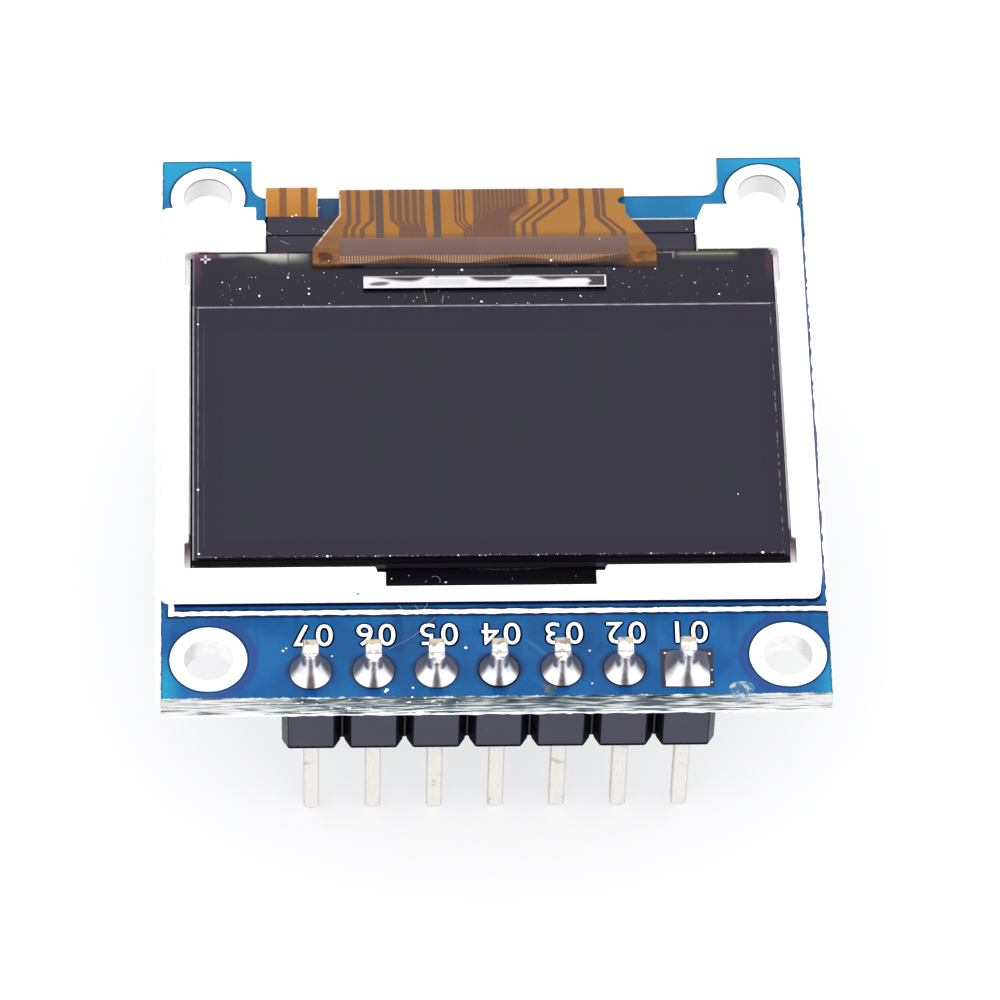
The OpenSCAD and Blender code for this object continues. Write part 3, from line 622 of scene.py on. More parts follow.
def chip_finish():
    """Polished silicon with dark dull smears and a grey rear rim."""
    finish = Finish("polished_silicon", shine=0.0, metallic=1.0)
    most, step, within = finish.most, finish.step, finish.within
    along = finish.x - chip_low.x
    deep = chip_high.y - finish.y

    def lens(middle, left, right, depth, power):
        """One in a lens-shaped patch that hangs from the rear rim, longer to one side."""
        from_middle = along - middle
        across = most(from_middle / right, from_middle / -left)
        return 1 - step(across ** power + deep / depth, 0.6, 1.15)

    tail = within(along, 7.9, 9.6, 0.05) * within(deep, 0.0, 0.19, 0.05)
    tongue = finish.spot(chip_low.x + 8.9, chip_high.y - 0.33, 0.66, 0.15)
    block = step(along, 9.25, 9.5) * within(deep, 0.05, 0.57, 0.03)
    block = block * (1 - step(along, 10.05, 10.09))
    slanted = (deep - 0.41 + (along - 0.67) * 0.06) / 0.12
    from_smear = ((along - 0.67) / 0.48) ** 2 + slanted ** 2
    smear = 1 - step(from_smear, 0.3, 1.2)
    dull = most(
        lens(2.01, 1.75, 0.72, 0.34, 2), lens(5.34, 1.0, 0.98, 0.36, 4), lens(7.9, 0.85, 1.05, 0.31, 2),
        lens(3.06, 0.1, 0.1, 0.14, 2), tail, block * (1 - tongue), smear * 0.85)
    panel = within(deep, 0.2, 0.5, 0.06)
    panel = panel * most(within(along, 2.8, 4.3, 0.15), within(along, 6, 7.3, 0.15))
    rim = 1 - step(deep, 0.07, 0.1)
    side = 1 - step(finish.z, chip_high.z - 0.04, chip_high.z - 0.02)
    haze = finish.cloud(1.1, 3)
    tone = finish.over(
        "F0EEF4", (haze, "FFFDFF"), (panel * 0.6, "DDDCE2"), (dull * 0.95, "3C363B"),
        (rim * 0.85, "BDBAC2"))
    return finish.done(finish.mix(side, tone, finish.seen("1B1924")), 0.14 + dull * 0.3)


def tape_finish():
    """Black tape: glossy over the lamps, dull in the notch with a painted reflection in an arc, painted
    black shade by the arms and at the skirt's end, purple behind the glass.
    """
    finish = Finish("black_tape", shine=0.0, coat_roughness=0.22)
    mix, seen, step, within = finish.mix, finish.seen, finish.step, finish.within
    x, y = finish.x, finish.y
    grain = finish.cloud(6, 3)
    lamps = step(y, array_high.y - 0.3, array_high.y + 0.1)
    # Painted shadow on the lower tape just past the end of the skirt
    skirt_end_shadow = within(y, tape_high.y + 0.01, tape_high.y + 0.12, 0.02)
    skirt_end_shadow = skirt_end_shadow * (1 - step(finish.z, cover_high.z + 0.01, cover_high.z + 0.02))
    # Painted shade beside each arm
    shade_by_arm = 1 - step(finish.least(x - cover_low.x, cover_high.x - x), 0.06, 0.09)
    # Both painted shades are black, with little sheen
    black = finish.most(skirt_end_shadow, shade_by_arm * lamps)
    behind_glass = lamps * (1 - step(y, 8.36, 8.42))
    lint = finish.specks(1.0, 0.035)
    # Painted reflection in a faint arc across the notch
    arc = within(finish.reach(0.35, -6.6, 5.2, 1.72), 0.985, 1.03, 0.02)
    arc = arc * within(x, -2, 3, 0.6) * step(grain, 0.3, 0.6)
    purple = mix(step(x, -8.45, -8.3), seen("7A4460"), seen("3A3038"))
    purple = mix(step(x, 6.9, 7.2), purple, seen("583A50"))
    tone = finish.over(
        "131118", (grain, "191720"), (lamps, "211C37"), (arc * 0.7, "5A585F"), (lint * 0.5, "9A98A2"),
        (behind_glass * 0.8, purple))
    finish.set("Coat Weight", 0.04 + lamps * (1 - finish.most(black, behind_glass)) * 0.5)
    return finish.done(mix(black, tone, seen("0A090E")), 0.4 + grain * 0.15, grain, 0.004)


# Finishes of the flexes

def amber_finish(name, along, start, end, dark, light):
    """Amber film over its adhesive: browner by the bond and the flare, with painted highlights where it is
    cut and where it is bent.
    """
    finish = Finish(name, shine=0.05)
    seen, step, within = finish.seen, finish.step, finish.within
    x, y = finish.x, finish.y
    cloud = finish.cloud(0.7, 3)
    grain = finish.cloud(12, 2)
    ramp = step(getattr(finish, along) + (cloud - 0.5) * (end - start) * 0.6, start, end)
    tone = finish.mix(ramp, seen(dark), seen(light))

    flare_end = flex_bend_y + flare_deep
    slope = (x - flex_left_end) * flare_deep - (y - flex_bend_y) * flare_wide
    from_flare = slope / math.hypot(flare_deep, flare_wide)
    flare = within(from_flare, -0.1, 0.7, 0.3)
    flare = flare * (1 - step(y, flare_end - 0.8, flare_end + 0.3))
    mask_right = 1.07 + step(y, 9.9, 10.6) * 0.76
    mask_left = step(y, 9.2, 9.7) * 0.4 - 0.95
    mask = step(x - mask_left, -0.05, 0.05) * (1 - step(x - mask_right, -0.05, 0.05))
    group_left = -3.7 - step(y, 9.3, 9.9) * 0.38
    group = step(x - group_left, -0.03, 0.03) * (1 - step(x, -2.62, -2.56))
    tone = finish.over(
        tone, (flare * 0.65, "93603A"), ((1 - step(y, 8.6, 9.0)) * 0.75, "8E603E"),
        (mask * 0.7, "8A6047"), (group * 0.5, "95653F"),
        (group * (1 - step(y, 9.3, 9.8)) * 0.8, "84594A"))

    worn = step(finish.cloud(4, 3), 0.3, 0.55)
    flare_edge = within(from_flare, -0.1, 0.08, 0.02)
    flare_edge = flare_edge * within(y, flex_bend_y + 0.3, flare_end, 0.2)
    narrow_edge = within(x, flex_left - 0.1, flex_left + 0.06, 0.02)
    narrow_edge = narrow_edge * step(y, flare_end - 0.1, flare_end)
    tab_edge = 1 - step(finish.least(abs(x - tab_left), abs(tab_right - x)), 0.04, 0.07)
    tab_edge = tab_edge * step(y, 10.0, 10.1)
    # Painted highlights along the cut edges, broken up unevenly
    cut_edge_highlight = finish.most(flare_edge, narrow_edge * 0.8, tab_edge * 0.7)
    # Painted highlight along the fold
    fold = on_fold(finish)
    tone = finish.over(tone, (cut_edge_highlight * worn * 0.9, "F2E2C6"), (fold * 0.4, "BFA28E"))
    bond_end = 1 - step(y, flex_low.y + 0.04, flex_low.y + 0.08)
    return finish.done(finish.mix(bond_end, tone, seen("3A3640")), 0.28 + grain * 0.12, cloud, 0.01)


def track_finish(name, dark, light):
    """Copper seen through the amber film, greyer in the two widest tracks, with a painted highlight along
    the fold.
    """
    finish = Finish(name, shine=0.05)
    seen = finish.seen
    run = finish.cloud(5, 3, (1, 0.4, 0.4))
    fold = on_fold(finish)
    widest = finish.most(*[finish.within(finish.x, x - 0.18, x + 0.18, 0.02) for x in WIDE_TRACKS])
    tone = finish.over(seen(dark), (run, seen(light)), (widest * 0.8, "665850"))
    # Painted highlight along the fold
    return finish.done(finish.mix(fold * 0.35, tone, seen("A08A80")), 0.3 + run * 0.15, run, 0.004)


def band_finish():
    """Close-set conductors past the end of the cover film."""
    finish = Finish("conductor_band", shine=0.15)
    lines = finger_wave(finish) * 0.5 + 0.5
    cloud = finish.cloud(0.9, 3)
    tone = finish.over("7B6059", (cloud, "866A61"), (lines * 0.12, "5F4A45"))
    rim = finish.step(finish.y, cover_end - 0.09, cover_end - 0.03)
    return finish.done(finish.mix(rim * 0.5, tone, finish.seen("A07C68")), 0.35 + cloud * 0.1, lines, 0.002)


def resin_wave(finish):
    """Y of the wavy line that the resin stops at."""
    swing = finish.math("COSINE", (finish.x + 3.4) * (2 * math.pi / 4.6)) * 0.15
    return 7.09 + swing + finish.step(finish.x, 1.5, 4.5) * 0.1 + (finish.cloud(1.5) - 0.5) * 0.06


def bond_finish():
    """Bare fingers pressed on the glass: pale above a wavy line of resin, brown at it, dark below."""
    finish = Finish("bonded_fingers", shine=0.1)
    mix, seen, step = finish.mix, finish.seen, finish.step
    x, y = finish.x, finish.y
    cloud = finish.cloud(2.6, 4)
    lines = step(finger_wave(finish), 0.1, 0.9)
    from_wave = y - resin_wave(finish)
    clear = step(from_wave, -0.03, 0.03)
    pale = finish.over(
        "8C6A56", (lines, "C4A48C"), ((1 - step(from_wave, 0.0, 0.2)) * 0.5, "A8764A"))
    brown = mix(lines * 0.6, seen("684A38"), seen("946C52"))
    ends = finish.most(
        1 - step(x, band_left - 0.02, band_left + 0.1),
        step(x, band_right - 0.1, band_right + 0.02))
    smear = mix(step(cloud, 0.3, 0.7), seen("7A4E2E"), seen("A8764A"))
    drop = finish.reach(-6.8, 7.33, 0.36, 0.3) + (cloud - 0.5) * 0.5
    smear = mix((1 - step(drop, 0.6, 1.1)) * 0.85, smear, seen("573528"))
    tone = finish.over(brown, (clear, pale), (ends, smear))
    below = (1 - step(from_wave, -0.24, -0.15)) * (1 - ends * 0.9)
    return finish.done(
        mix(below * 0.75, tone, seen("4A4040")), 0.3 + cloud * 0.15, cloud + lines * 0.3, 0.006)


def resin_finish():
    """Resin pressed out of the bond: brown at its ends, otherwise as dark as the glass under it."""
    finish = Finish("bond_resin", shine=0.15)
    mix, seen = finish.mix, finish.seen
    x = finish.x
    cloud = finish.cloud(2.5, 4)
    ends = finish.most(
        1 - finish.step(x, band_left - 0.1, band_left + 0.5), finish.step(x, band_right - 0.7, band_right))
    brown = mix(cloud, seen("543A2C"), seen("84603F"))
    dark = mix(cloud, seen("38353E"), seen("443D40"))
    return finish.done(mix(ends * 0.9, dark, brown), 0.25 + cloud * 0.2, cloud, 0.02)


# Finishes of the rear parts, the inner layers and the small marks

def package_finish(node):
    """Black moulded body between tinned leads."""
    low, high = node_box(node)
    finish = Finish(f"{node}_body_and_leads")
    lead = finish.step(abs(finish.y - (low.y + high.y) / 2), 0.655, 0.665)
    grain = finish.cloud(12, 2)
    body = finish.mix(grain, colour("17171A"), colour("222225"))
    finish.set("Metallic", lead)
    return finish.done(
        finish.mix(lead, body, colour("B9B7B4")), 0.45 - lead * 0.15 + grain * 0.1, grain, 0.01)


def capped_finish(node, dark, light):
    """Ceramic body between tinned end caps."""
    low, high = node_box(node)
    finish = Finish(f"{node}_body_and_caps")
    across = high.x - low.x > high.y - low.y
    along = abs((finish.x if across else finish.y) - ((low + high) / 2)[0 if across else 1])
    cap = finish.step(along, 0.475, 0.485)
    grain = finish.cloud(9, 3)
    body = finish.mix(grain, colour(dark), colour(light))
    finish.set("Metallic", cap)
    return finish.done(
        finish.mix(cap, body, colour("BDBBB8")), 0.4 - cap * 0.12 + grain * 0.1, grain, 0.008)


def plain_finish(name, dark, light, scale, shine=0.3, rough=0.4, spread=0.2, depth=0.004):
    """Plain film, mask, plastic or metal with a faint grain."""
    finish = Finish(name, shine=shine)
    grain = finish.cloud(scale, 3)
    return finish.done(
        finish.mix(grain, finish.seen(dark), finish.seen(light)), rough + grain * spread, grain, depth)


def white_finish(name):
    """White lint and loose fibre."""
    finish = Finish(name, shine=0.1)
    grain = finish.cloud(5, 3)
    return finish.done(finish.mix(grain, colour("D8D9DC"), colour("FFFFFF")), 0.6 + grain * 0.2)


def flux_finish(name, dark, light, cover, x, y, wide, deep):
    """Thin flux residue that the board shows through, thicker in patches."""
    finish = Finish(name, shine=0.4)
    cloud = finish.cloud(2.4, 3)
    from_middle = finish.reach(x, y, wide, deep) + (cloud - 0.5) * 0.9
    patches = finish.step(finish.cloud(3.6, 3), 0.4, 0.62)
    finish.set("Alpha", (0.5 + patches * 0.45) * (1 - finish.step(from_middle, 0.62, 0.85)) * cover)
    return finish.done(
        finish.mix(patches, finish.seen(dark), finish.seen(light)), 0.25 + cloud * 0.25, cloud, 0.03)


# Making pieces

def add_piece(name, bm, finish, replaces=(), crease=35):
    """Turns a bmesh in millimetres into a piece of the object."""
    bmesh.ops.scale(bm, vec=Vector((MM, MM, MM)), verts=bm.verts)
    mesh = bpy.data.meshes.new(name)
    bm.to_mesh(mesh)
    bm.free()
    mesh.materials.append(finish.material)
    mesh.shade_smooth()
    mesh.set_sharp_from_angle(angle=math.radians(crease))
    piece = bpy.data.objects.new(name, mesh)
    bpy.context.scene.collection.objects.link(piece)
    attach(piece, "root")
    if replaces:
        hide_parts(*replaces)
    return piece


def softened(node, width, finish, segments=2, lay=None):
    """A CAD node's own form with its sharp edges rounded, laid askew if a matrix says so."""
    bm = bmesh.new()
    bm.from_mesh(frame["nodes"][node].data)
    bmesh.ops.scale(bm, vec=Vector((1 / MM, 1 / MM, 1 / MM)), verts=bm.verts)
    bmesh.ops.remove_doubles(bm, verts=bm.verts, dist=WELD)
    bmesh.ops.dissolve_limit(bm, angle_limit=math.radians(0.5), verts=bm.verts, edges=bm.edges)
    if lay:
        bmesh.ops.transform(bm, matrix=lay, verts=bm.verts)
    piece = add_piece(f"{node}_softened", bm, finish, [node])
    bevel = piece.modifiers.new("rounded_edges", "BEVEL")
    bevel.width = width * MM
    bevel.segments = segments
    bevel.limit_method = "ANGLE"
    bevel.angle_limit = math.radians(30)
    bevel.harden_normals = True
    return piece


def dressed(node, finish):
    """A CAD node that keeps its own mesh and takes a finish."""
    materials = frame["nodes"][node].data.materials
    materials.clear()
    materials.append(finish.material)


def spun(bm, outline, centre, steps=48):
    """Turns an outline of radius and height points about an upright line."""
    verts = [bm.verts.new((centre.x + r, centre.y, z)) for r, z in outline]
    edges = [bm.edges.new(pair) for pair in zip(verts, verts[1:])]
    bmesh.ops.spin(
        bm, geom=verts + edges, cent=(centre.x, centre.y, 0), axis=(0, 0, 1),
        angle=2 * math.pi, steps=steps, use_merge=True)


def closed_up(bm):
    bmesh.ops.remove_doubles(bm, verts=bm.verts, dist=WELD)
    bmesh.ops.recalc_face_normals(bm, faces=bm.faces)


def add_ribbon(bm, points, width, across=(1, 0, 0), waver=0.0, source=None):
    """A band along the points that spreads to both sides of them, with wavering edges if asked."""
    half = Vector(across) * (width / 2)
    verts = [bm.verts.new(Vector(p) - half) for p in points]
    edges = [bm.edges.new(pair) for pair in zip(verts, verts[1:])]
    spread = bmesh.ops.extrude_edge_only(bm, edges=edges)["geom"]
    moved = [v for v in spread if isinstance(v, bmesh.types.BMVert)]
    bmesh.ops.translate(bm, vec=2 * half, verts=moved)
    if waver:
        for v in verts + moved:
            v.co += Vector(across) * source.uniform(-waver, waver)


def uneven_steps(source, start, end, low, high):
    """Places from start to end at random distances between low and high."""
    places = [start]
    while places[-1] + high < end:
        places.append(places[-1] + source.uniform(low, high))
    return [*places, end]


def thickened(bm, thickness):
    """Gives open bands a thickness and closes them."""
    bmesh.ops.solidify(bm, geom=bm.faces[:], thickness=thickness)
    bmesh.ops.recalc_face_normals(bm, faces=bm.faces)


def add_plate(bm, low, high, bevel=0.0, turn=0.0):
    """A block between two corners, turned about its upright axis, with its edges rounded."""
    size = Vector(high) - Vector(low)
    middle = (Vector(high) + Vector(low)) / 2
    place = Matrix.Translation(middle) @ Matrix.Rotation(turn, 4, "Z") @ Matrix.Diagonal((*size, 1))
    made = bmesh.ops.create_cube(bm, size=1, matrix=place)["verts"]
    if bevel:
        edges = list({e for v in made for e in v.link_edges})
        bmesh.ops.bevel(
            bm, geom=edges, offset=bevel, affect="EDGES", segments=2, profile=0.5, material=-1)


def add_disc(bm, centre, radius, low, high):
    place = Matrix.Translation((centre[0], centre[1], (low + high) / 2))
    bmesh.ops.create_cone(
        bm, cap_ends=True, segments=20, radius1=radius, radius2=radius, depth=high - low, matrix=place)


# Faces of a track that overlap lie this far apart, so that no two share a plane
TRACK_STEP = 0.0005


def add_track(bm, points, width, low, high):
    """A flat track with round corners and ends, each stretch a little prouder than the one before."""
    for a, b in zip(points, points[1:]):
        run = Vector(b) - Vector(a)
        middle = (Vector(a) + Vector(b)) / 2
        half = Vector((run.length / 2, width / 2))
        add_plate(bm, (*(middle - half), low), (*(middle + half), high), turn=math.atan2(run.y, run.x))
        low -= TRACK_STEP
    for point in points:
        low -= TRACK_STEP
        add_disc(bm, point, width / 2, low, high)


def add_outline(bm, low, high, width, z_low, z_high):
    """Four printed lines round a rectangle."""
    corners = [(low.x, low.y), (high.x, low.y), (high.x, high.y), (low.x, high.y), (low.x, low.y)]
    add_track(bm, corners, width, z_low, z_high)


def curve_bmesh(curve):
    """The mesh of a text or a curve, in its own units."""
    holder = bpy.data.objects.new(curve.name, curve)
    bpy.context.scene.collection.objects.link(holder)
    bpy.context.view_layer.update()
    shown = holder.evaluated_get(bpy.context.evaluated_depsgraph_get())
    bm = bmesh.new()
    bm.from_mesh(bpy.data.meshes.new_from_object(shown))
    bpy.data.objects.remove(holder)
    bmesh.ops.remove_doubles(bm, verts=bm.verts, dist=WELD)
    return bm


def hair_bmesh(points, radius):
    """A fine fibre along a smooth line through the points."""
    curve = bpy.data.curves.new("hair", "CURVE")
    curve.dimensions = "3D"
    curve.bevel_depth = radius
    curve.bevel_resolution = 1
    curve.use_fill_caps = True
    spline = curve.splines.new("NURBS")
    spline.points.add(len(points) - 1)
    for point, place in zip(spline.points, points):
        point.co = (*place, 1)
    spline.use_endpoint_u = True
    spline.order_u = min(4, len(points))
    return curve_bmesh(curve)


# The board and what is printed and plated on it

def make_board():
    softened("pcb", 0.02, board_finish(), 1)
    lip = 0.03
    bm = bmesh.new()
    for side in (-1, 1):
        for end in (-1, 1):
            outline = [
                (ring_r, board_top / 2), (ring_r, board_top), (ring_r - lip, board_top + lip),
                (hole_r + lip, board_top + lip), (hole_r - lip, board_top), (hole_r - lip, 0),
                (hole_r + lip, -lip), (ring_r - lip, -lip), (ring_r, 0), (ring_r, board_top / 2)]
            spun(bm, outline, Vector((side * hole_x, end * hole_y, 0)), 64)
    closed_up(bm)
    add_piece("plated_rings", bm, tin_finish(), crease=25)


def make_legend():
    """Printed outline of the display's place, and a number at each pin."""
    ink = ink_finish()
    ink_t = 0.02
    z = board_top + ink_t / 2
    ragged = random.Random(4)
    bm = bmesh.new()
    left = legend_left - legend_w / 2
    along_x = uneven_steps(ragged, left, board_high.x - 0.01, 0.12, 0.3)
    add_ribbon(bm, [(x, legend_y, z) for x in along_x], legend_w, (0, 1, 0), 0.022, ragged)
    along_y = uneven_steps(ragged, legend_y, frame_low.y + 0.6, 0.08, 0.16)
    add_ribbon(bm, [(legend_left + 0.01, y, z) for y in along_y], legend_w + 0.02, (1, 0, 0), 0.02, ragged)
    thickened(bm, ink_t / 2)
    add_piece("legend_outline", bm, ink)

    digit_h = 1.05
    cap_share = 0.7
    label_y = -10.66
    label_x = 0.12
    rim_w = 0.09
    rim_t = 0.004
    rim = plain_finish("legend_rim", "16336B", "1E3D78", 6, 0.05)
    turn = Matrix.Rotation(math.pi, 4, "Z")
    around = [Vector((math.cos(a), math.sin(a), 0)) * rim_w for a in (i * math.pi / 4 for i in range(8))]
    for n in pins:
        for kind, height, finish in (("rim", rim_t, rim), ("label", ink_t, ink)):
            text = bpy.data.curves.new(f"pin_{kind}_{n}", "FONT")
            text.body = f"{n:02d}"
            text.size = digit_h / cap_share
            text.space_character = 1.2
            text.align_x = "CENTER"
            text.align_y = "CENTER"
            text.extrude = height / 2
            bm = curve_bmesh(text)
            place = Matrix.Translation((pin_centres[n].x + label_x, label_y, board_top + height / 2))
            bmesh.ops.transform(bm, matrix=place @ turn, verts=bm.verts)
            if kind == "rim":
                digits = bm.verts[:] + bm.edges[:] + bm.faces[:]
                for shift in around:
                    copied = bmesh.ops.duplicate(bm, geom=digits)["geom"]
                    moved = [v for v in copied if isinstance(v, bmesh.types.BMVert)]
                    bmesh.ops.translate(bm, vec=shift, verts=moved)
            add_piece(f"pin_{kind}_{n}", bm, finish)


def make_frays():
    """Loose glass fibre along the cut front and side edges."""
    fibre = white_finish("loose_fibre")
    source = random.Random(17)
    bm = bmesh.new()
    along_x = uneven_steps(source, board_low.x + 0.05, board_high.x - 0.05, 0.1, 0.4)
    add_ribbon(bm, [(x, board_low.y - 0.01, 0.03) for x in along_x], 0.1, (0, 0, 1), 0.045, source)
    thickened(bm, 0.02)
    add_piece("front_fray", bm, fibre)
    bm = bmesh.new()
    along_y = uneven_steps(source, board_low.y + 0.05, 10.9, 0.08, 0.3)
    add_ribbon(bm, [(board_low.x - 0.1, y, 0.95) for y in along_y], 0.22, (1, 0, 0), 0.05, source)
    thickened(bm, 0.1)
    add_piece("left_fray", bm, fibre)
    bm = bmesh.new()
    along_y = uneven_steps(source, legend_y, 9.5, 0.12, 0.3)
    fray_x = board_high.x + 0.015
    add_ribbon(bm, [(fray_x, y, board_top + 0.005) for y in along_y], 0.12, (1, 0, 0), 0.04, source)
    thickened(bm, 0.03)
    add_piece("right_fray", bm, fibre)


# Height of the cone, reach on the board, hollowness of the side and lean of each solder joint
JOINTS = {
    1: (1.35, 0.93, 2.6, 0.0), 2: (1.2, 0.84, 2.2, 0.02), 3: (1.1, 0.84, 2.1, 0.02),
    4: (1.2, 0.81, 2.3, 0.0), 5: (1.0, 0.87, 2.1, 0.0), 6: (1.13, 0.85, 2.2, 0.0),
    7: (1.35, 0.86, 2.0, -0.02)}


def make_solder():
    solder = solder_finish()
    neck = 0.36
    lip = 0.03
    rings = 16
    for n, (height, base, hollow, lean) in JOINTS.items():
        centre = pin_centres[n]
        top = board_top + lip + height
        outline = [(base - lip, board_top - 0.01), (base, board_top + lip)]
        for i in range(1, rings + 1):
            s = i / rings
            outline.append((neck + (base - neck) * (1 - s) ** hollow, board_top + lip + height * s))
        outline += [(0.3, top + 0.03), (0.0, top + 0.03)]
        bm = bmesh.new()
        spun(bm, outline, centre)
        closed_up(bm)
        for v in bm.verts:
            rise = min(max((v.co.z - board_top) / height, 0), 1)
            offset = Vector((v.co.x - centre.x, v.co.y - centre.y))
            if n == 1 and offset.length > 1e-4:
                unit = offset.normalized()
                square = 1 / max(abs(unit.x), abs(unit.y))
                offset *= 1 + (square - 1) * (1 - rise) ** 3 * (0.95 if unit.y < 0 else 0.6)
            v.co.x = centre.x + offset.x + lean * rise
            v.co.y = centre.y + offset.y
        add_piece(f"solder_joint_{n}", bm, solder, [f"solder_fillet_{n}"], 60)

    # Square pad under the first joint, set a little to the rear
    pad = pin_centres[1]
    half_w, half_d, pad_t = 1.07, 0.94, 0.02
    back = 0.02
    bm = bmesh.new()
    add_plate(
        bm, (pad.x - half_w, pad.y - half_d + back, board_top - 0.005),
        (pad.x + half_w, pad.y + half_d + back, board_top + pad_t), 0.006)
    add_piece("first_pin_pad", bm, plain_finish("bare_pad", "33324A", "55536A", 8))


def make_header():
    for n in pins:
        softened(f"header_pin_{n}", 0.05, pin_finish(n))
    softened("header_strip", 0.05, header_finish())


# The display

def make_display():
    softened("backlight_frame", 0.06, frame_finish())
    softened("array_glass", 0.03, ledge_finish())
    softened("filter_glass", 0.03, cell_finish())
    softened("front_polarizer", 0.025, polarizer_finish())
    softened("driver_chip", 0.015, chip_finish())
    tape = tape_finish()
    softened("rim_tape", 0.012, tape)
    # The tape over the lamps lies a little askew
    askew = -0.016
    skew = Matrix.Identity(4)
    skew[1][0] = askew
    pivot = Matrix.Translation((cover_high.x, 0, 0))
    softened("led_cover_tape", 0.012, tape, lay=pivot @ skew @ pivot.inverted())

    # Painted shade: a dark plate fills the gap between the glass and the front of each arm
    bm = bmesh.new()
    for low_x, high_x in ((array_low.x + 0.25, cover_low.x), (cover_high.x, array_high.x - 0.1)):
        add_plate(
            bm, (low_x, array_high.y + 0.01, array_low.z + 0.02),
            (high_x, frame_high.y - arm_l - 0.01, array_high.z - 0.06))
    add_piece("rear_gap_seal", bm, plain_finish("gap_seal", "1E0E18", "2E1824", 5))

    # Cross on the ledge
    bar_l, bar_w = 0.42, 0.1
    sunk, proud = 0.002, 0.006
    bm = bmesh.new()
    mark = Vector((array_low.x + 0.53, array_high.y - 0.3, array_high.z))
    for wide, deep in ((bar_l, bar_w), (bar_w, bar_l)):
        add_plate(bm, mark - Vector((wide / 2, deep / 2, sunk)), mark + Vector((wide / 2, deep / 2, proud)))
    add_piece("alignment_mark", bm, plain_finish("mark_metal", "D8D4DA", "F4F2F6", 6))


# The flexes: lines of their faces in YZ, and the conductors on them
film_t = 0.1
tab_film_t = 0.07
track_t = 0.006
fold_gap = 0.02
fold_z = board_top / 2
recess_y = flex_high.y - fold_z - fold_gap - film_t
lift = 0.008
arc_steps = 18


def folded_line(start, bend, fold_y, radius):
    """Points from start over a bend, straight to the fold round the board's edge, and along its rear."""
    reach = Vector((bend[0] - fold_y, bend[1] - fold_z))
    first = math.atan2(reach.y, reach.x) - math.acos(radius / reach.length)
    turn = first + math.pi / 2
    angles = [first - turn * i / arc_steps for i in range(arc_steps + 1)]
    arc = [(fold_y + radius * math.cos(a), fold_z + radius * math.sin(a)) for a in angles]
    return [start, bend, *arc, (flex_joints_high.y, fold_z - radius)]


# Length of the frame's arms, and of the flare and its spread to each side
arm_l = 2.34
flare_deep = 2.55
flare_wide = 1.15
flex_bend_y = frame_high.y - arm_l
flex_left_end = flex_low.x
flex_left = flex_low.x + flare_wide
flex_line = folded_line(
    (flex_low.y, flex_high.z + lift), (flex_bend_y, flex_high.z + lift), recess_y,
    fold_z + fold_gap + film_t + lift)
tab_r = fold_z + fold_gap + tab_film_t
tab_line = folded_line(
    (tab_low.y, tab_high.z + lift), (frame_high.y + tab_film_t, tab_high.z + lift), tab_high.y - tab_r,
    tab_r + lift)
# Ends of the cover film and of the bare fingers, sides of the conductor band
cover_end = 8.5
fingers_end = 7.36
band_left, band_right = -6.25, 5.88
finger_pitch = 0.117
fold_start = 11.8


def height_on(line, y):
    """Height of a face line at y, on its upper run."""
    for (y0, z0), (y1, z1) in zip(line, line[1:]):
        if y0 <= y <= y1:
            return z0 + (z1 - z0) * (y - y0) / (y1 - y0)
    raise ValueError(y)


def conductor(bm, line, stations, width):
    """A conductor through x, y stations on the upper run, then round the fold at the last x."""
    points = [(x, y, height_on(line, y)) for x, y in stations]
    last_x, last_y = stations[-1]
    crest = max(range(len(line)), key=lambda i: line[i][0])
    after = [p for i, p in enumerate(line) if i > crest or (p[0] > last_y and i > 1)]
    points += [(last_x, y, z) for y, z in after]
    add_ribbon(bm, points, width)


WIDE_TRACKS = (-4.51, -2.09)
# Each conductor: x at the bond, x at the fold, ends of its slanted stretch, width
TRACKS = [
    (-5.97, -5.8, 9.2, 9.7, 0.19), (-5.64, -5.41, 9.2, 9.7, 0.19), (-5.26, -4.83, 9.2, 9.9, 0.2),
    *[(x, x, 9.0, 9.5, 0.32) for x in WIDE_TRACKS],
    (1.11, 2.31, 9.6, 11.2, 0.19), (1.54, 2.83, 9.6, 11.3, 0.19), (1.98, 3.42, 9.6, 11.4, 0.21),
    (3.98, 4.06, 9.0, 9.5, 0.22), (5.34, 4.69, 8.9, 10.0, 0.25), (5.75, 4.97, 8.9, 10.1, 0.17),
    *[(-3.6 + 0.24 * i, -3.98 + 0.32 * i, 9.3 - 0.04 * i, 9.9 - 0.04 * i, 0.19) for i in range(5)],
    *[(-0.95 + 0.14 * i, -1.3 + 0.18 * i, 9.1 + 0.06 * i, 9.7 + 0.06 * i, 0.1) for i in range(3)],
    *[(-0.52 + 0.13 * i, -0.45 + 0.19 * i, 9.6 + 0.05 * i, 10.4 + 0.06 * i, 0.12) for i in range(12)]]


